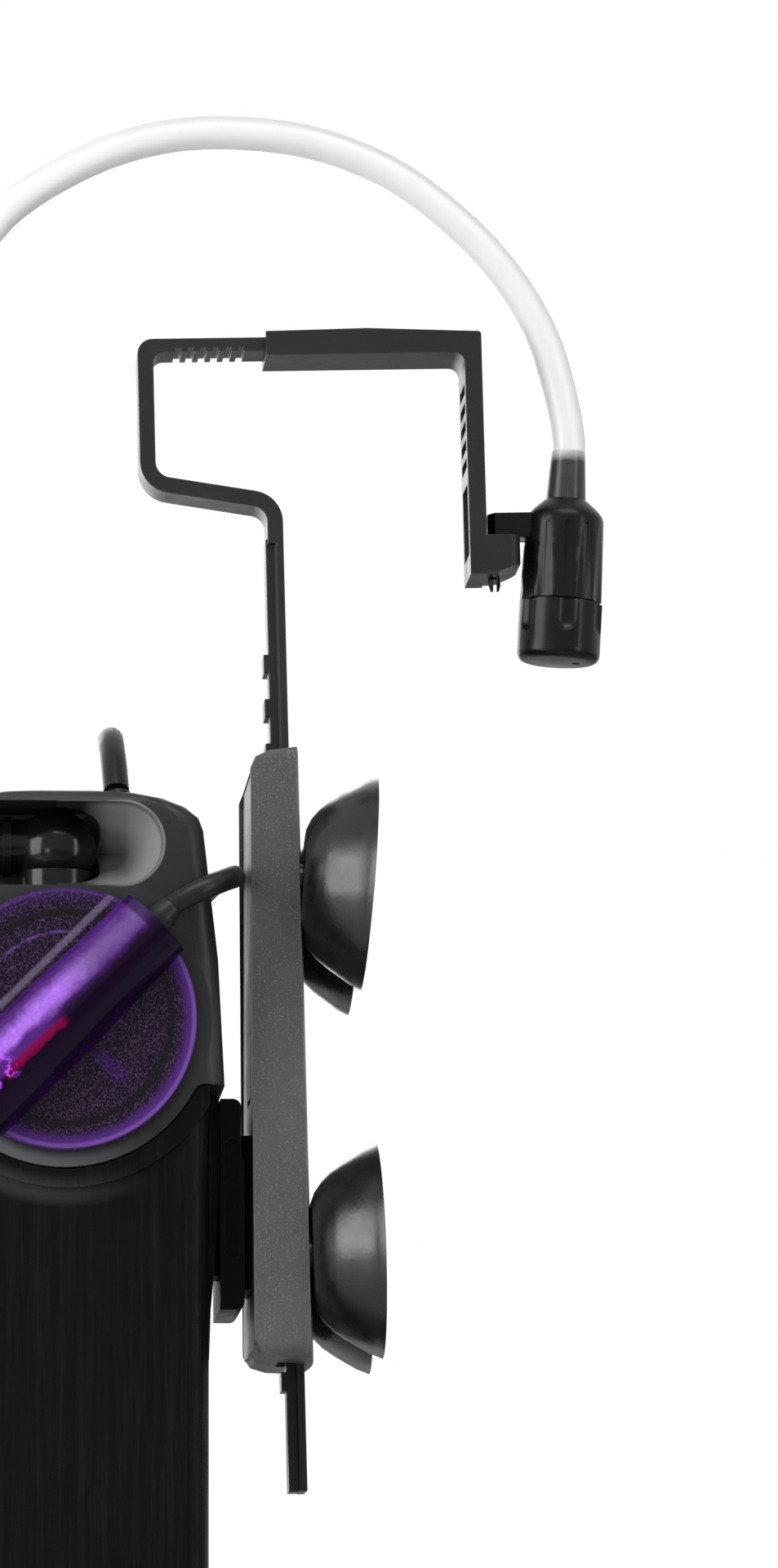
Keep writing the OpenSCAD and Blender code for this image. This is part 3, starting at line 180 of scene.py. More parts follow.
class Shader:
    # A material's node tree with short ways to add what the finishes share
    def __init__(self, name):
        self.material = bpy.data.materials.new(name)
        self.material.use_nodes = True
        self.tree = self.material.node_tree
        self.bsdf = self.tree.nodes["Principled BSDF"]
        self.coords = self.tree.nodes.new("ShaderNodeTexCoord")

    def add(self, kind, **settings):
        node = self.tree.nodes.new(kind)
        for key, value in settings.items():
            setattr(node, key, value)
        return node

    def link(self, a, b):
        self.tree.links.new(a, b)

    def join(self, value, name):
        # Links a value to one of the shader's own sockets
        self.link(value, self.bsdf.inputs[name])

    def fix(self, **constants):
        # Sets the shader's constants; a name's underscores stand for spaces
        for name, value in constants.items():
            self.bsdf.inputs[name.replace("_", " ")].default_value = value

    def noise(self, scale, detail=3.0, rough=0.5, stretch=None, distortion=0.0):
        node = self.add("ShaderNodeTexNoise")
        node.inputs["Scale"].default_value = scale
        node.inputs["Detail"].default_value = detail
        node.inputs["Roughness"].default_value = rough
        node.inputs["Distortion"].default_value = distortion
        self.link(self.placed(stretch), node.inputs["Vector"])
        return node.outputs["Fac"]

    def placed(self, stretch):
        if stretch is None:
            return self.coords.outputs["Object"]
        mapping = self.add("ShaderNodeMapping")
        mapping.inputs["Scale"].default_value = stretch
        self.link(self.coords.outputs["Object"], mapping.inputs["Vector"])
        return mapping.outputs["Vector"]

    def wave(self, direction, scale, distortion=0.0):
        node = self.add("ShaderNodeTexWave", bands_direction=direction, wave_profile="SIN")
        node.inputs["Scale"].default_value = scale
        node.inputs["Distortion"].default_value = distortion
        self.link(self.coords.outputs["Object"], node.inputs["Vector"])
        return node.outputs["Fac"]

    def spread(self, value, low, high, fromLow=0.3, fromHigh=0.7):
        node = self.add("ShaderNodeMapRange")
        node.inputs["From Min"].default_value = fromLow
        node.inputs["From Max"].default_value = fromHigh
        node.inputs["To Min"].default_value = low
        node.inputs["To Max"].default_value = high
        self.link(value, node.inputs["Value"])
        return node.outputs["Result"]

    def ramp(self, value, low, high, start, stop):
        # From low at start to high at stop, both in mm
        return self.spread(value, low, high, start * mm, stop * mm)

    def band(self, value, low, high, soft):
        # 1 between low and high, in mm, with soft edges
        rise = self.ramp(value, 0.0, 1.0, low - soft, low + soft)
        fall = self.ramp(value, 1.0, 0.0, high - soft, high + soft)
        return self.times(rise, fall)

    def blend(self, factor, a, b):
        node = self.add("ShaderNodeMix", data_type="RGBA")
        for socket, color in ((node.inputs[6], a), (node.inputs[7], b)):
            if isinstance(color, (tuple, list)):
                socket.default_value = (*color, 1.0)
            else:
                self.link(color, socket)
        self.link(factor, node.inputs[0])
        return node.outputs[2]

    def bump(self, height, distance, under=None):
        node = self.add("ShaderNodeBump")
        node.inputs["Distance"].default_value = distance * mm
        node.inputs["Strength"].default_value = 1.0
        self.link(height, node.inputs["Height"])
        if under is not None:
            self.link(under, node.inputs["Normal"])
        return node.outputs["Normal"]

    def calc(self, operation, a, b=0.0):
        node = self.add("ShaderNodeMath", operation=operation)
        for socket, value in ((node.inputs[0], a), (node.inputs[1], b)):
            if isinstance(value, (int, float)):
                socket.default_value = value
            else:
                self.link(value, socket)
        return node.outputs[0]

    def times(self, first, *others):
        for other in others:
            first = self.calc("MULTIPLY", first, other)
        return first

    def distance(self, a, b):
        return self.calc("SQRT", self.calc("ADD", self.times(a, a), self.times(b, b)))

    def axes(self):
        split = self.add("ShaderNodeSeparateXYZ")
        self.link(self.coords.outputs["Object"], split.inputs[0])
        return split.outputs

    def fromKnob(self, x, z):
        # The height above the knob's centre and the distance from it
        up = self.calc("SUBTRACT", z, knobCentre * mm)
        return up, self.distance(x, up)

    def wear(self, radius):
        # 1 on edges and corners, 0 on flats
        node = self.add("ShaderNodeBevel", samples=4)
        node.inputs["Radius"].default_value = radius * mm
        geometry = self.add("ShaderNodeNewGeometry")
        dot = self.add("ShaderNodeVectorMath", operation="DOT_PRODUCT")
        self.link(node.outputs["Normal"], dot.inputs[0])
        self.link(geometry.outputs["Normal"], dot.inputs[1])
        return self.spread(dot.outputs["Value"], 1.0, 0.0, 0.90, 0.995)


# What all moulded finishes share. Each noise: scale per metre, detail and roughness; the
# ranges say which of its values fade a mask in; the wear's radius is in mm
mould = {
    "cloud": (38.0, 4.0, 0.6), "rub": (700.0, 2.0, 0.5), "smear": (120.0, 5.0, 0.65),
    "dust": (3600.0, 1.0, 0.4), "dustRange": (0.60, 0.74), "scratch": (420.0, 3.0, 0.6),
    "scratchStretch": (14.0, 14.0, 0.35), "grain": (2.0, 0.55), "wearRadius": 0.5,
    "smoother": 0.05, "rougher": 0.07,
}


def mouldedPlastic(name, dark, light, rough, grain, grainScale, sheen=0.25, specks=0.0, fine=0.0,
                   edge=0.5, marksAndPaintedLight=None):
    # Moulded plastic: spark-eroded grain, slow tone changes and paler rubbed edges
    s = Shader(name)
    body = s.blend(s.spread(s.noise(*mould["cloud"]), 0.0, 1.0), dark, light)
    rub = s.times(s.wear(mould["wearRadius"]), s.spread(s.noise(*mould["rub"]), 0.1, 0.9))
    body = s.blend(rub, body, tuple(c * (1.0 + 1.6 * edge) + 0.010 * edge for c in light))
    if specks > 0:
        dust = s.spread(s.noise(*mould["dust"]), 0.0, specks, *mould["dustRange"])
        body = s.blend(dust, body, tuple(c * 1.6 + 0.006 for c in light))
    # What is passed in here adds the cup's drag lines and the painted light on the cup and head
    if marksAndPaintedLight is not None:
        body = marksAndPaintedLight(s, body)
    s.join(body, "Base Color")
    smear = s.noise(*mould["smear"])
    s.join(s.spread(smear, rough - mould["smoother"], rough + mould["rougher"]), "Roughness")
    s.fix(Specular_IOR_Level=sheen)
    normal = s.bump(s.noise(grainScale, *mould["grain"]), grain)
    if fine > 0:
        scratch = s.noise(*mould["scratch"], stretch=mould["scratchStretch"])
        normal = s.bump(scratch, fine, under=normal)
    s.join(normal, "Normal")
    return s.material


# The cup's mould drag lines and the painted light on the cup and head, in mm. Bands: from, to and
# softness. Ramps: where a mask is at one end of its change and where at the other
dragAndPaintedLight = {
    "drag": (0.0075, 0.0075, 0.0078), "dragNoise": (260.0, 4.0, 0.65),
    "dragStretch": (3.0, 3.0, 0.12), "dragRange": (0.45, 0.75), "dragStrength": 0.7,
    "collar": (0.024, 0.024, 0.025), "collarBand": (28.0, 31.8, 1.0), "collarRamp": (-34.0, -12.0),
    "frontRamp": (-16.0, -10.0),
    "dish": (0.20, 0.20, 0.204), "dishX": 9.75, "dishDrop": 9.7, "dishRamp": (7.0, 7.6),
    "dishSide": (3.0, 8.0), "dishStrength": 0.95,
    "lip": (0.17, 0.17, 0.172), "lipBand": (7.45, 7.85, 0.12), "lipSide": (7.0, 12.0),
    "lipStrength": 0.8,
    "ring": (0.075, 0.076, 0.078), "ringBand": (23.8, 27.6, 0.7), "ringRamp": (-27.0, -4.0),
}


def cupDragAndPaintedLight(s, body):
    # Faint upright drag lines from the mould, and a painted highlight on the collar, strongest on
    # its lower left
    drag = s.noise(*dragAndPaintedLight["dragNoise"], stretch=dragAndPaintedLight["dragStretch"])
    drag = s.spread(drag, 0.0, dragAndPaintedLight["dragStrength"], *dragAndPaintedLight["dragRange"])
    body = s.blend(drag, body, dragAndPaintedLight["drag"])
    x, _, z = s.axes()
    up, reach = s.fromKnob(x, z)
    # Painted highlight: the collar's band round the knob is lighter towards its lower left
    low = s.ramp(s.calc("ADD", x, up), 1.0, 0.0, *dragAndPaintedLight["collarRamp"])
    return s.blend(s.times(s.band(reach, *dragAndPaintedLight["collarBand"]), low), body, dragAndPaintedLight["collar"])


def headPaintedLight(s, body):
    # Painted light: the dish beside the ball painted bright, a painted highlight line on its lip,
    # and painted light on the ring that frames the knob, strongest on its lower left
    x, y, z = s.axes()
    front = s.ramp(y, 1.0, 0.0, *dragAndPaintedLight["frontRamp"])
    beyond = s.calc("MAXIMUM", s.calc("SUBTRACT", x, dragAndPaintedLight["dishX"] * mm), 0.0)
    dish = s.distance(beyond, s.calc("SUBTRACT", z, (headTop - dragAndPaintedLight["dishDrop"]) * mm))
    # Painted light: the dish beside the ball is painted bright
    paintedDishLight = s.times(s.ramp(dish, 1.0, 0.0, *dragAndPaintedLight["dishRamp"]),
                       s.ramp(x, 0.0, 1.0, *dragAndPaintedLight["dishSide"]))
    body = s.blend(s.times(paintedDishLight, front, dragAndPaintedLight["dishStrength"]), body, dragAndPaintedLight["dish"])
    # Painted highlight: a pale line along the dish's lip
    lip = s.times(s.band(dish, *dragAndPaintedLight["lipBand"]), s.ramp(x, 0.0, 1.0, *dragAndPaintedLight["lipSide"]))
    body = s.blend(s.times(lip, s.times(front, dragAndPaintedLight["lipStrength"])), body, dragAndPaintedLight["lip"])
    up, reach = s.fromKnob(x, z)
    # Painted light on the ring round the knob, brightest on its lower left
    low = s.ramp(s.calc("ADD", x, up), 1.0, 0.1, *dragAndPaintedLight["ringRamp"])
    ring = s.times(s.band(reach, *dragAndPaintedLight["ringBand"]), s.times(low, front))
    return s.blend(ring, body, dragAndPaintedLight["ring"])


# The simpler finishes: noises as above, the bump's depth in mm
rubberLook = {
    "cloud": (60.0, 4.0, 0.6), "smear": (240.0, 4.0), "grain": (1500.0, 2.0), "depth": 0.02,
    "smoother": 0.05, "rougher": 0.08,
}
tintedLook = {
    "cloud": (70.0, 5.0, 0.6), "swirl": 0.6, "smear": (300.0, 4.0), "grain": (2600.0, 2.0, 0.6),
    "depth": 0.02, "smoother": 0.04, "rougher": 0.08, "ior": 1.5,
}
softLook = {
    "cloud": (55.0, 4.0, 0.55), "smear": (200.0, 3.0), "ripple": (420.0, 3.0), "depth": 0.06,
    "smoother": 0.05, "rougher": 0.1, "ior": 1.38, "transmission": 0.30, "paler": 1.04,
}
metalLook = {"lines": (4.0, 0.6), "depth": 0.03, "smoother": 0.06, "rougher": 0.1}
foamLook = {"range": (0.05, 0.6), "depth": 0.6, "rough": 0.95}
woundLook = {"distortion": 0.4, "depth": 0.25, "metallic": 0.8, "rough": 0.35}


def rubber(name, dark, light, rough, sheen):
    look = rubberLook
    s = Shader(name)
    s.join(s.blend(s.spread(s.noise(*look["cloud"]), 0.0, 1.0), dark, light), "Base Color")
    smear = s.noise(*look["smear"])
    s.join(s.spread(smear, rough - look["smoother"], rough + look["rougher"]), "Roughness")
    s.fix(Specular_IOR_Level=sheen)
    s.join(s.bump(s.noise(*look["grain"]), look["depth"]), "Normal")
    return s.material


def tintedPlastic(name, deep, pale, rough, transmission):
    # Clear coloured plastic with flow lines and a frosted surface
    look = tintedLook
    s = Shader(name)
    cloud = s.noise(*look["cloud"], distortion=look["swirl"])
    s.join(s.blend(s.spread(cloud, 0.0, 1.0), deep, pale), "Base Color")
    s.fix(Transmission_Weight=transmission, IOR=look["ior"])
    smear = s.noise(*look["smear"])
    s.join(s.spread(smear, rough - look["smoother"], rough + look["rougher"]), "Roughness")
    s.join(s.bump(s.noise(*look["grain"]), look["depth"]), "Normal")
    return s.material


barbEnd = {
    "dark": (0.014, 0.014, 0.0145), "light": (0.034, 0.034, 0.035), "clear": (0.52, 0.52, 0.525),
    "fadeFrom": 2.2, "fadeTo": 0.1, "wander": 0.8, "waves": (300.0, 3.0),
    "streaks": (500.0, 3.0, 0.6), "streakStretch": (6.0, 6.0, 0.4), "ripple": (420.0, 3.0),
    "depth": 0.05, "rough": 0.3, "sheen": 0.25,
}


def hoseOnBarb(name):
    # The end of the hose, stretched over the black barb that shows through it
    s = Shader(name)
    z = s.axes()[2]
    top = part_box("hose_end_regulator")[1][2]
    wave = s.times(s.calc("SUBTRACT", s.noise(*barbEnd["waves"]), 0.5), barbEnd["wander"] * mm)
    clear = s.spread(s.calc("ADD", z, wave), 0.0, 1.0,
                     top - barbEnd["fadeFrom"] * mm, top + barbEnd["fadeTo"] * mm)
    streak = s.noise(*barbEnd["streaks"], stretch=barbEnd["streakStretch"])
    barb = s.blend(s.spread(streak, 0.0, 1.0), barbEnd["dark"], barbEnd["light"])
    s.join(s.blend(clear, barb, barbEnd["clear"]), "Base Color")
    s.fix(Roughness=barbEnd["rough"], Specular_IOR_Level=barbEnd["sheen"])
    s.join(s.bump(s.noise(*barbEnd["ripple"]), barbEnd["depth"]), "Normal")
    return s.material


# Tones of the knob: its own colours, what shows through it, and painted light and shade: a painted
# highlight line beside the grip, the lit and shaded grip, and painted glints
knobTones = {
    "disc": (0.005, 0.0022, 0.0075), "discPale": (0.083, 0.050, 0.100),
    "rim": (0.058, 0.016, 0.135), "rimLine": (0.12, 0.052, 0.24), "seal": (0.005, 0.006, 0.004),
    "footHighlight": (0.16, 0.12, 0.20), "litLilac": (0.32, 0.13, 0.60), "dusk": (0.20, 0.13, 0.31),
    "violet": (0.060, 0.013, 0.145), "core": (0.006, 0.0014, 0.011), "edge": (0.022, 0.001, 0.060),
    "glow": (0.16, 0.001, 0.045), "glint": (0.42, 0.07, 0.80),
}
# Where they lie, in mm: from, to and softness, across or along the grip or out from the centre
knobBands = {
    "seal": (18.0, 19.2, 0.3), "arc": (15.0, 15.5, 0.15), "rimLine": (22.2, 22.9, 0.2),
    "ribAlong": (-1.4, 0.8, 0.5), "ribAcross": (8.6, 15.0, 1.0), "footHighlight": (-10.2, -9.0, 0.25),
    "flank": (-7.8, -0.9, 0.8), "litLilac": (-5.3, -2.0, 1.0), "middle": (-2.2, 0.2, 0.5),
    "edge": (6.4, 9.5, 0.5), "glowAcross": (-0.3, 1.3, 0.35), "glowAlong": (-15.0, -1.0, 0.8),
    "glintAlong": (-19.0, -13.0, 1.0), "glintAcross": (-4.5, 1.5, 0.6),
    "gripEnd": (21.0, 24.0, 0.3),
}
# Where a mask starts and stops changing, in mm
knobRamps = {
    "arc": (-11.0, -8.0), "rim": (20.2, 21.8), "lowSide": (-6.0, 6.0), "lit": (2.0, 12.0),
    "dusk": (3.0, 10.0), "middle": (-5.0, -1.0), "raised": (knobFace - 0.9, knobFace - 0.3),
}
# Noises as above, the wander and the bump's depth in mm, and the shader's constants
knobLook = {
    "specks": (2300.0, 3.0, 0.8), "speckRange": (0.48, 0.74), "tickScale": 110.0,
    "tickStrength": (0.2, 0.6), "flow": (260.0, 4.0, 0.6), "swirl": 0.5, "wander": 2.2,
    "streaks": (900.0, 3.0, 0.6), "spots": (520.0, 2.0, 0.6), "spotRange": (0.56, 0.62),
    "grain": (2600.0, 2.0, 0.6), "depth": 0.02, "rough": (0.16, 0.30),
    "transmission": 0.07, "ior": 1.3, "tint": (0.30, 0.16, 0.50, 1), "sheen": 0.3,
    "coat": 0.10, "coatRough": 0.10,
}


def knobDisc(s, across, along, reach):
    # Specks, the seal, an arc of ticks, a rib, a painted highlight line beside the grip and the
    # pale rim, with painted light making the rim brighter on its lower right
    tones, bands, ramps = knobTones, knobBands, knobRamps
    speck = s.spread(s.noise(*knobLook["specks"]), 0.0, 1.0, *knobLook["speckRange"])
    disc = s.blend(speck, tones["disc"], tones["discPale"])
    disc = s.blend(s.times(s.band(reach, *bands["seal"]), 0.85), disc, tones["seal"])
    ticks = s.wave("DIAGONAL", knobLook["tickScale"])
    arc = s.times(s.band(reach, *bands["arc"]), s.spread(ticks, *knobLook["tickStrength"]))
    disc = s.blend(s.times(arc, s.ramp(across, 1.0, 0.0, *ramps["arc"])), disc, tones["rimLine"])
    rib = s.times(s.band(along, *bands["ribAlong"]), s.band(across, *bands["ribAcross"]))
    disc = s.blend(s.times(rib, s.spread(speck, 0.30, 0.75, 0.0, 1.0)), disc, tones["violet"])
    # Painted highlight: a pale grey line on the disc beside the grip
    footHighlight = s.times(s.band(across, *bands["footHighlight"]), s.spread(speck, 0.55, 0.9, 0.0, 1.0))
    disc = s.blend(footHighlight, disc, tones["footHighlight"])
    # Painted light: the rim and its line are brighter on the lower right than on the upper left
    lowSide = s.ramp(across, 0.25, 1.0, *ramps["lowSide"])
    disc = s.blend(s.times(s.ramp(reach, 0.0, 1.0, *ramps["rim"]), lowSide), disc, tones["rim"])
    return s.blend(s.times(s.band(reach, *bands["rimLine"]), lowSide), disc, tones["rimLine"])


def knobGrip(s, across, along, flow):
    # A lit flank painted violet with a painted lilac highlight, over a core painted dark as shade;
    # a thin violet edge, a red streak, painted glints and a darker end
    tones, bands, ramps = knobTones, knobBands, knobRamps
    streaks = s.noise(*knobLook["streaks"])
    wander = s.times(s.calc("SUBTRACT", flow, 0.5), knobLook["wander"] * mm)
    wander = s.calc("ADD", across, wander)
    # Painted light: the flank facing the upper left is violet over the core, which is painted dark
    # as shade
    flank = s.times(s.band(wander, *bands["flank"]), s.spread(streaks, 0.7, 1.0))
    grip = s.blend(flank, tones["core"], tones["violet"])
    # Painted highlight: lilac along the lit flank, fading along the grip to a greyer dusk tone
    lit = s.times(s.band(wander, *bands["litLilac"]), s.ramp(along, 1.0, 0.45, *ramps["lit"]))
    litLilac = s.blend(s.ramp(along, 0.0, 1.0, *ramps["dusk"]), tones["litLilac"], tones["dusk"])
    grip = s.blend(s.times(lit, s.spread(streaks, 0.7, 1.0)), grip, litLilac)
    edge = s.times(s.band(wander, *bands["edge"]), s.spread(streaks, 0.4, 1.0))
    grip = s.blend(edge, grip, tones["edge"])
    # Painted light: violet along the middle near the grip's foot
    middle = s.times(s.band(wander, *bands["middle"]), s.ramp(along, 1.0, 0.0, *ramps["middle"]))
    grip = s.blend(middle, grip, tones["violet"])
    glow = s.times(s.band(wander, *bands["glowAcross"]), s.band(along, *bands["glowAlong"]))
    grip = s.blend(glow, grip, tones["glow"])
    # Painted glints at the grip's foot
    spots = s.spread(s.noise(*knobLook["spots"]), 0.0, 1.0, *knobLook["spotRange"])
    foot = s.times(s.band(along, *bands["glintAlong"]), s.band(across, *bands["glintAcross"]))
    grip = s.blend(s.times(spots, foot), grip, tones["glint"])
    return s.blend(s.times(s.band(along, *bands["gripEnd"]), 0.7), grip, tones["core"])


def knobPlastic(name):
    # Deep violet clear plastic; what shows through it is painted in its base colour, and so are the
    # light and shade on its rim and grip
    look = knobLook
    s = Shader(name)
    x, y, z = s.axes()
    up, reach = s.fromKnob(x, z)
    across = s.times(s.calc("SUBTRACT", x, up), math.sqrt(0.5))
    along = s.times(s.calc("ADD", x, up), math.sqrt(0.5))
    flow = s.noise(*look["flow"], distortion=look["swirl"])
    raised = s.ramp(y, 1.0, 0.0, *knobRamps["raised"])
    disc = knobDisc(s, across, along, reach)
    s.join(s.blend(raised, disc, knobGrip(s, across, along, flow)), "Base Color")
    s.fix(Transmission_Weight=look["transmission"], IOR=look["ior"], Specular_Tint=look["tint"],
          Specular_IOR_Level=look["sheen"], Coat_Weight=look["coat"],
          Coat_Roughness=look["coatRough"])
    s.join(s.spread(flow, *look["rough"]), "Roughness")
    s.join(s.bump(s.noise(*look["grain"]), look["depth"]), "Normal")
    return s.material


def foam(name, dark, light, cell):
    s = Shader(name)
    pores = s.add("ShaderNodeTexVoronoi", feature="F1")
    pores.inputs["Scale"].default_value = cell
    s.link(s.coords.outputs["Object"], pores.inputs["Vector"])
    depth = s.spread(pores.outputs["Distance"], 0.0, 1.0, *foamLook["range"])
    s.join(s.blend(depth, light, dark), "Base Color")
    s.fix(Roughness=foamLook["rough"])
    s.join(s.bump(depth, foamLook["depth"]), "Normal")
    return s.material


def metal(name, dark, light, rough, stretch, scale=300.0):
    look = metalLook
    s = Shader(name)
    lines = s.noise(scale, *look["lines"], stretch=stretch)
    s.join(s.blend(s.spread(lines, 0.0, 1.0), dark, light), "Base Color")
    s.fix(Metallic=1.0)
    s.join(s.spread(lines, rough - look["smoother"], rough + look["rougher"]), "Roughness")
    s.join(s.bump(lines, look["depth"]), "Normal")
    return s.material


def wound(name, dark, light, pitch):
    # Turns of wire lying side by side along X
    s = Shader(name)
    turns = s.wave("X", pitch, woundLook["distortion"])
    s.join(s.blend(turns, dark, light), "Base Color")
    s.fix(Metallic=woundLook["metallic"], Roughness=woundLook["rough"])
    s.join(s.bump(turns, woundLook["depth"]), "Normal")
    return s.material


def softClear(name, tint, rough):
    # Milky clear tubing with slow ripples along it
    look = softLook
    s = Shader(name)
    pale = tuple(min(1.0, c * look["paler"]) for c in tint)
    s.join(s.blend(s.spread(s.noise(*look["cloud"]), 0.0, 1.0), tint, pale), "Base Color")
    s.fix(Transmission_Weight=look["transmission"], IOR=look["ior"])
    smear = s.noise(*look["smear"])
    s.join(s.spread(smear, rough - look["smoother"], rough + look["rougher"]), "Roughness")
    s.join(s.bump(s.noise(*look["ripple"]), look["depth"]), "Normal")
    return s.material


# Moulded ones: dark and light tone, roughness, depth of the grain in mm and its scale
finishes = {
    "cup": mouldedPlastic("satinBlackCup", (0.0014, 0.0014, 0.0016), (0.0030, 0.0030, 0.0034), 0.30,
                          0.02, 900.0, sheen=0.06, fine=0.03, edge=0.3, marksAndPaintedLight=cupDragAndPaintedLight),
    "head": mouldedPlastic("charcoalHead", (0.010, 0.0103, 0.011), (0.016, 0.0164, 0.0175), 0.40,
                           0.03, 1900.0, sheen=0.18, specks=0.2, edge=0.35, marksAndPaintedLight=headPaintedLight),
    "gloss": mouldedPlastic("glossBlack", (0.003, 0.003, 0.0032), (0.005, 0.005, 0.0055), 0.16,
                            0.003, 1400.0, sheen=0.17, edge=0.2),
    "bracket": mouldedPlastic("texturedCharcoal", (0.046, 0.046, 0.0475), (0.074, 0.074, 0.076),
                              0.5, 0.07, 2600.0, sheen=0.2, specks=0.9),
    "regulator": mouldedPlastic("regulatorBlack", (0.003, 0.003, 0.0032), (0.0055, 0.0055, 0.006),
                                0.26, 0.006, 1400.0, sheen=0.12, edge=0.2),
    "clip": mouldedPlastic("clipBlack", (0.0075, 0.0075, 0.0078), (0.011, 0.011, 0.0114), 0.3,
                           0.01, 1400.0, sheen=0.012, fine=0.02, edge=0.6),
    "strap": mouldedPlastic("strapCharcoal", (0.010, 0.010, 0.0106), (0.016, 0.016, 0.0168), 0.42,
                            0.03, 1800.0, sheen=0.16, specks=0.2),
    "hook": mouldedPlastic("hookBlack", (0.009, 0.009, 0.0094), (0.014, 0.014, 0.0147), 0.42,
                           0.03, 1700.0, sheen=0.16, specks=0.15),
    "inner": mouldedPlastic("innerBlack", (0.012, 0.012, 0.013), (0.022, 0.022, 0.024), 0.5,
                            0.03, 1500.0),
    "impeller": mouldedPlastic("impellerGrey", (0.22, 0.23, 0.25), (0.28, 0.29, 0.31), 0.4,
                               0.02, 1500.0),
    "needle": mouldedPlastic("needleWhite", (0.55, 0.55, 0.53), (0.66, 0.66, 0.63), 0.4,
                             0.02, 1500.0),
    "magnet": mouldedPlastic("ferriteMagnet", (0.03, 0.03, 0.032), (0.05, 0.05, 0.052), 0.55,
                             0.05, 2200.0),
    "ceramic": mouldedPlastic("polishedCeramic", (0.7, 0.7, 0.68), (0.8, 0.8, 0.77), 0.25,
                              0.01, 2000.0, edge=0.0),
    "sucker": rubber("suckerRubber", (0.004, 0.004, 0.0045), (0.008, 0.008, 0.009), 0.28, 0.35),
    "cord": rubber("cordJacket", (0.005, 0.005, 0.0053), (0.009, 0.009, 0.0095), 0.38, 0.20),
    "seal": rubber("sealRubber", (0.005, 0.005, 0.005), (0.010, 0.010, 0.010), 0.4, 0.3),
    "purple": knobPlastic("purpleClear"),
    "lampGlass": tintedPlastic("lampGlass", (0.78, 0.70, 0.95), (0.90, 0.86, 1.0), 0.08, 0.8),
    "hose": softClear("clearHose", (0.69, 0.69, 0.695), 0.36),
    "hoseOnBarb": hoseOnBarb("hoseOnBarb"),
    "sponge": foam("coarseFoam", (0.03, 0.034, 0.045), (0.10, 0.11, 0.14), 700.0),
    "carbon": foam("carbonPad", (0.008, 0.008, 0.008), (0.03, 0.03, 0.03), 1400.0),
    "fleece": foam("whiteFleece", (0.55, 0.56, 0.54), (0.82, 0.83, 0.80), 1800.0),
    "core": metal("laminatedSteel", (0.28, 0.28, 0.30), (0.5, 0.5, 0.52), 0.4, (1.0, 40.0, 1.0)),
    "copper": wound("windingCopper", (0.35, 0.13, 0.05), (0.80, 0.42, 0.20), 900.0),
    "pin": metal("platedPin", (0.62, 0.61, 0.60), (0.82, 0.82, 0.81), 0.2, (1.0, 1.0, 1.0), 500.0),
}
print("materials are made:", len(finishes))


def addPiece(name, mesh, finish, body, replaced=()):
    # A piece without a body is not attached to one
    piece = bpy.data.objects.new(name, mesh)
    bpy.context.scene.collection.objects.link(piece)
    mesh.materials.clear()
    mesh.materials.append(finishes[finish])
    if body is not None:
        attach(piece, body)
    if replaced:
        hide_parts(*replaced)
    return piece


def smooth(mesh, angle):
    for polygon in mesh.polygons:
        polygon.use_smooth = True
    mesh.set_sharp_from_angle(angle=math.radians(angle))


# Angles in degrees above which an edge is sharp or rounded, and sizes in mm
rounding = {
    "sharpAngle": 32, "roundAngle": 30, "segments": 3, "weld": 0.004, "flatAngle": 0.4,
    "lowestWithin": 0.02, "underSegments": 4,
}
suckerSkin = {"round": 0.12, "finish": "sucker", "slot": "sucker_rubber", "crease": 50}
plugSkin = {"round": 0.5, "finish": "cord", "slot": "cord_rubber"}
# How each moulded piece is rounded: edge radius in mm, its own crease angle, and its finish
skins = {
    "cup": {"round": 0.35, "finish": "cup", "slot": "cup_plastic"},
    "head": {"round": 1.2, "finish": "head", "slot": "head_plastic"},
    "nozzle": {"round": 0.3, "finish": "gloss", "slot": "black_gloss"},
    "clip": {"round": 0.4, "under": 1.6, "finish": "clip", "slot": "black_gloss"},
    "back_plate": {"round": 0.3, "finish": "bracket", "slot": "bracket_plastic"},
    "shell": {"round": 1.0, "finish": "bracket", "slot": "bracket_plastic"},
    "strap": {"round": 0.3, "finish": "strap", "slot": "bracket_plastic"},
    "hook": {"round": 0.35, "finish": "hook", "slot": "bracket_plastic"},
    "regulator": {"round": 0.3, "finish": "regulator", "slot": "black_gloss"},
    "regulator_cap": {"round": 0.4, "finish": "regulator", "slot": "black_gloss"},
    "sucker_upper_front": suckerSkin,
    "sucker_upper_rear": suckerSkin,
    "sucker_lower_front": suckerSkin,
    "sucker_lower_rear": suckerSkin,
    "knob": {"round": 0.5, "finish": "purple", "slot": "purple_plastic"},
    "mains_plug": plugSkin,
    "uv_plug": plugSkin,
    "mains_gland": {"round": 0.3, "finish": "cord", "slot": "cord_rubber"},
    "uv_gland": {"round": 0.3, "finish": "cord", "slot": "cord_rubber", "crease": 60},
}


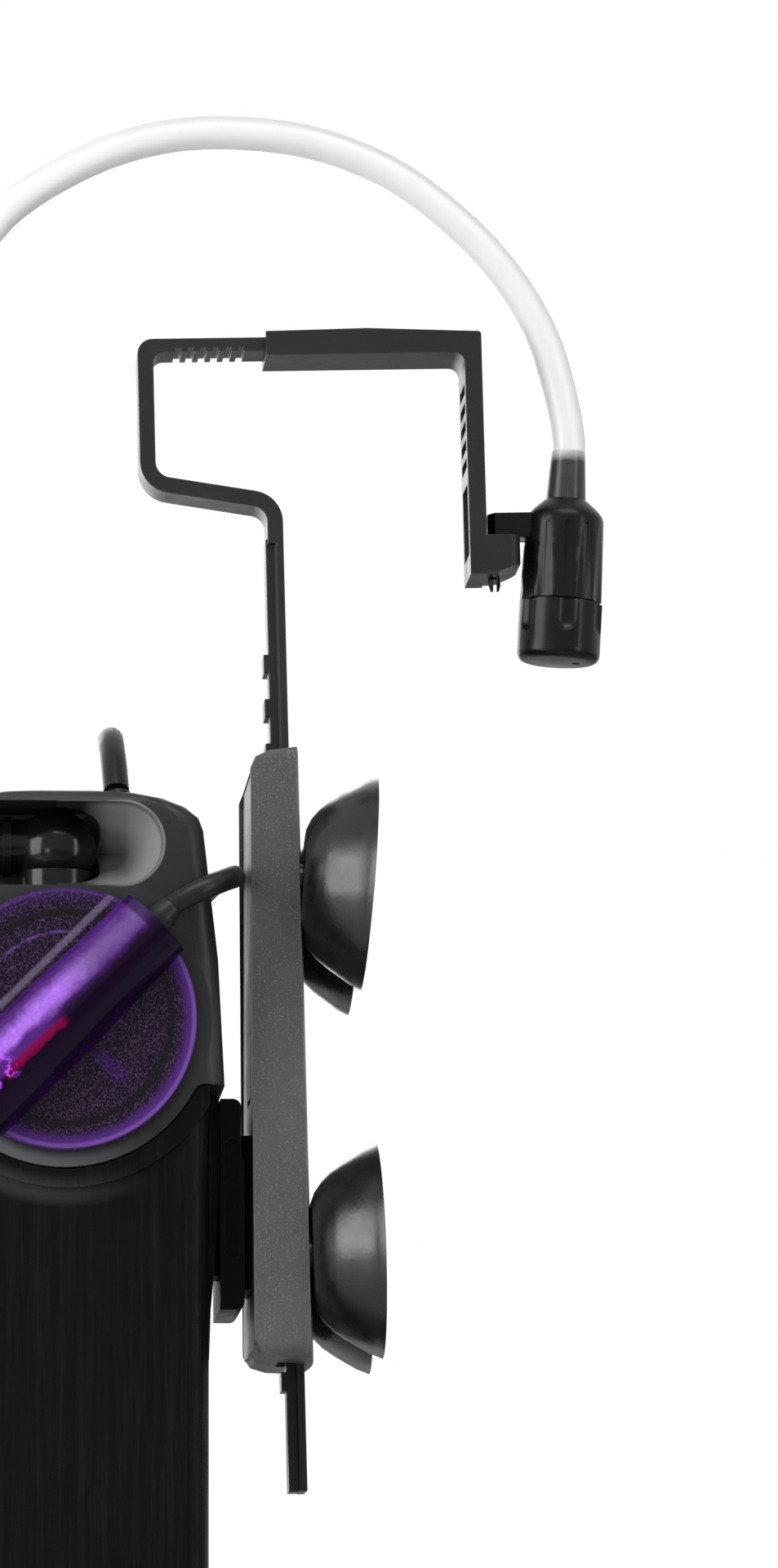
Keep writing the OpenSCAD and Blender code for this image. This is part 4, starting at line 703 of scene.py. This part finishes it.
def skinFrom(nodeName, settings):
    # A rounded copy of a node's own solid
    source = nodes[nodeName]
    bm = bmesh.new()
    bm.from_mesh(source.data)
    bmesh.ops.remove_doubles(bm, verts=bm.verts, dist=rounding["weld"] * mm)
    bmesh.ops.dissolve_limit(bm, angle_limit=math.radians(rounding["flatAngle"]),
                             verts=bm.verts, edges=bm.edges)
    if "under" in settings:
        lowest = min(v.co.z for v in bm.verts) + rounding["lowestWithin"] * mm
        rim = [e for e in bm.edges if all(v.co.z < lowest for v in e.verts)]
        bmesh.ops.bevel(bm, geom=rim, offset=settings["under"] * mm,
                        segments=rounding["underSegments"], affect="EDGES",
                        profile=0.5, material=-1, clamp_overlap=True)
    mesh = bpy.data.meshes.new(nodeName + "Skin")
    bm.to_mesh(mesh)
    bm.free()
    smooth(mesh, settings.get("crease", rounding["sharpAngle"]))
    piece = addPiece(nodeName + "Skin", mesh, settings["finish"], source["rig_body"],
                     (nodeName,))
    bevel = piece.modifiers.new("rounded", "BEVEL")
    bevel.width = settings["round"] * mm
    bevel.segments = rounding["segments"]
    bevel.limit_method = "ANGLE"
    bevel.angle_limit = math.radians(settings.get("crease", rounding["roundAngle"]))
    bevel.harden_normals = True
    bevel.use_clamp_overlap = True


for nodeName, settings in skins.items():
    skinFrom(nodeName, settings)
print("rounded skins are made:", len(skins))

# Pieces that keep their own solids and only take a finish
finishByNode = {
    "sponge": "sponge", "intake_tube": "inner", "media_tray": "inner", "carbon_pad": "carbon",
    "fleece_pad": "fleece", "stator_core": "core", "winding": "copper", "rotor": "magnet",
    "shaft": "ceramic", "bush_top": "seal", "bush_bottom": "seal", "impeller": "impeller",
    "impeller_cover": "inner", "nozzle_oring": "seal", "knob_oring": "seal",
    "uv_lamp": "lampGlass", "lamp_base": "inner", "quartz_sleeve": "lampGlass",
    "regulator_needle": "needle", "hose_end_regulator": "hoseOnBarb", "hose_end_nozzle": "hose",
    "mains_tie": "seal", "uv_tie": "seal", "mains_pins": "pin", "uv_pins": "pin",
}
for nodeName, finish in finishByNode.items():
    mesh = nodes[nodeName].data
    mesh.materials.clear()
    mesh.materials.append(finishes[finish])
print("solids are finished:", len(finishByNode))

# Both coils: how far a cord rests above the floor in mm, points per turn, and the part of a
# turn after which a cord moves over to its next place
coil = {"rest": 0.8, "turnPoints": 24, "halfTurns": 11, "moveFrom": 0.75}
# Places beside and on each other: the middle, the inner pair, the upper row, the outer pair
coilPlaces = [(0, 0), (-1, 0), (-1, 1), (0, 1), (1, 1), (1, 0)]


def coilPoints(settings, floorHeight):
    points = []
    steps = coil["turnPoints"]
    for step in range(coil["halfTurns"] * steps // 2 + 1):
        turn = step / steps
        index = min(int(turn), len(coilPlaces) - 1)
        follow = min(index + 1, len(coilPlaces) - 1)
        part = max(0.0, (turn - index - coil["moveFrom"]) / (1 - coil["moveFrom"]))
        ease = part * part * (3 - 2 * part)
        beside = coilPlaces[index][0] * (1 - ease) + coilPlaces[follow][0] * ease
        above = coilPlaces[index][1] * (1 - ease) + coilPlaces[follow][1] * ease
        angle = settings["startAngle"] + settings["direction"] * 2 * math.pi * turn
        reach = settings["coilRadius"] + beside * settings["diameter"]
        points.append((settings["coilAt"][0] + reach * math.cos(angle),
                       settings["coilAt"][1] + reach * math.sin(angle),
                       floorHeight + above * settings["diameter"]))
    return points


def smoothLine(points, step):
    # A smooth line through the points, with a new point about every step
    line = []
    vectors = [Vector(p) for p in points]
    for i in range(len(vectors) - 1):
        before = vectors[max(i - 1, 0)]
        after = vectors[min(i + 2, len(vectors) - 1)]
        a, b = vectors[i], vectors[i + 1]
        count = max(1, round((b - a).length / step))
        for k in range(count):
            t = k / count
            line.append(0.5 * ((2 * a) + (b - before) * t
                               + (2 * before - 5 * a + 4 * b - after) * t * t
                               + (3 * a - before - 3 * b + after) * t ** 3))
    line.append(vectors[-1])
    return line


def tubeMesh(name, line, radius, rounds=5):
    data = bpy.data.curves.new(name, "CURVE")
    data.dimensions = "3D"
    data.bevel_depth = radius * mm
    data.bevel_resolution = rounds
    data.use_fill_caps = True
    spline = data.splines.new("POLY")
    spline.points.add(len(line) - 1)
    for point, place in zip(spline.points, line):
        point.co = (*(place * mm), 1.0)
    helper = bpy.data.objects.new(name, data)
    bpy.context.scene.collection.objects.link(helper)
    depsgraph = bpy.context.evaluated_depsgraph_get()
    mesh = bpy.data.meshes.new_from_object(helper.evaluated_get(depsgraph))
    bpy.data.objects.remove(helper)
    bpy.data.curves.remove(data)
    mesh.name = name
    for polygon in mesh.polygons:
        polygon.use_smooth = True
    return mesh


def makeCord(name, route, settings):
    # The settings' bend names two bodies and points in mm; nothing here reads it
    line = smoothLine(route, settings["step"])
    mesh = tubeMesh(name, line, settings["diameter"] / 2)
    piece = addPiece(name, mesh, settings["finish"], None, settings["replaced"])
    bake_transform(piece)


liftBend = ("cup_body", "head_body", (0, 0, 130), (0, 0, 330))

mains = {
    "diameter": 4.8, "step": 4.0, "coilAt": (-35.0, 68.0), "coilRadius": 26.0,
    "startAngle": 0.0, "direction": 1, "finish": "cord", "slot": "cord_rubber", "bend": liftBend,
    "replaced": ("mains_cord", "mains_coil", "mains_tail"),
    "farEnd": "plug", "stiffness": "medium", "lay": "coiled",
}
mainsFloor = mains["diameter"] / 2 + coil["rest"]
mainsRoute = [
    (10.4, 21.4, headTop + 7), (10.1, 24, headTop + 11.5), (9.8, 28.5, headTop + 15.7),
    (9.7, 34, headTop + 18.2), (9.9, 40.1, headTop + 19), (10.3, 46.1, headTop + 17.8),
    (11, 51.4, headTop + 14.9), (11.5, 55.6, headTop + 10.4), (11.7, 58.1, headTop + 4.9),
    (11.3, 59.2, headTop - 3), (9.8, 59.2, headTop - 14), (7.2, 58.5, headTop - 29),
    (3, 57, headTop - 53), (-1, 55, headTop - 81), (-4, 52.8, 240), (-6.2, 51, 210),
    (-8, 49.2, 180), (-9, 47.5, 148), (-9, 46, 114), (-9, 45, 80), (-9, 44, 52), (-9, 44.5, 38),
    (-9, 46.5, 26), (-9, 50.5, 15.5), (-9, 56.5, 8), (-9, 63, 4)]
mainsTail = [
    (-66.2, 59, mainsFloor), (-67.4, 50, 3.4), (-69.4, 41, 4.4), (-71.6, 33, 5.8),
    (-73, 27, 6.85)]
makeCord("mainsLead", mainsRoute + coilPoints(mains, mainsFloor) + mainsTail, mains)

uv = {
    "diameter": 4.0, "step": 3.5, "coilAt": (45.0, 66.0), "coilRadius": 22.0,
    "startAngle": math.pi, "direction": -1, "finish": "cord", "slot": "cord_rubber",
    "bend": liftBend, "replaced": ("uv_cord", "uv_coil", "uv_tail"),
    "farEnd": "plug", "stiffness": "medium", "lay": "coiled",
}
uvFloor = uv["diameter"] / 2 + coil["rest"]
# The first point lies inside the gland
uvRoute = [
    (17.2, -37, knobCentre + 18.4), (19.3, -37, knobCentre + 20.1),
    (22.4, -37, knobCentre + 21.8), (25.5, -35.8, knobCentre + 23.3),
    (28.1, -32, knobCentre + 24.8), (29.6, -26.2, knobCentre + 26), (30.3, -19, knobCentre + 27.1),
    (30.5, -9, knobCentre + 28.5), (30.5, 1, knobCentre + 29.8), (30.5, 11, knobCentre + 31),
    (30.4, 20, knobCentre + 32), (29.8, 28.5, knobCentre + 32.7), (28.2, 36, knobCentre + 32.4),
    (25.8, 42.2, knobCentre + 30), (23.8, 46.4, knobCentre + 25), (22.8, 48.6, knobCentre + 17.5),
    (22.6, 49.2, knobCentre + 8), (22.7, 48.8, knobCentre - 4), (22.9, 47.8, knobCentre - 20),
    (23, 46.8, knobCentre - 38), (23, 46.2, knobCentre - 56), (23, 46, 235), (23, 46, 205),
    (23, 46, 175), (23, 46, 145), (23, 45.5, 115), (23, 45, 85), (23, 45, 58), (23, 45, 36),
    (23, 47, 24), (23, 51, 14), (23, 57, 6.8), (23, 62.5, 3.6)]
uvTail = [
    (71.3, 58, uvFloor), (72.6, 50, 3.2), (74.8, 42, 4.2), (77.4, 34, 5.7), (79, 27, 6.85)]
makeCord("lampLead", uvRoute + coilPoints(uv, uvFloor) + uvTail, uv)

hose = {
    "diameter": 6.0, "step": 4.0, "finish": "hose", "slot": "clear_hose",
    "bend": ("hook_body", "regulator_body", (30, 0, 480), (91, 0, 432)),
    "replaced": ("air_hose",), "farEnd": "object", "stiffness": "medium", "lay": "hanging",
}
hoseRoute = [
    (-28.5, -18, headTop + 7.3), (-28.8, -18, headTop + 20), (-29.4, -17.6, headTop + 38),
    (-29.2, -16.4, headTop + 56), (-26.5, -14.8, headTop + 74), (-20.5, -13, headTop + 92),
    (-11.7, -11, headTop + 107), (3.1, -9, headTop + 117.5), (17.9, -7, headTop + 123),
    (32.7, -5.5, headTop + 124.2), (47.6, -4, headTop + 122.3), (62.4, -2.6, headTop + 116),
    (77.2, -1.4, headTop + 103.5), (86.5, -0.5, headTop + 90), (90.6, 0, headTop + 77.5),
    (92.1, 0, headTop + 68.6)]
# The hose runs on to the middle of the stretched end on the barb
stretched = [v.co / mm for v in nodes["hose_end_regulator"].data.vertices]
hoseSeat = sum(stretched, Vector()) / len(stretched)
makeCord("airHose", hoseRoute + [tuple(hoseSeat)], hose)
print("cords are made")
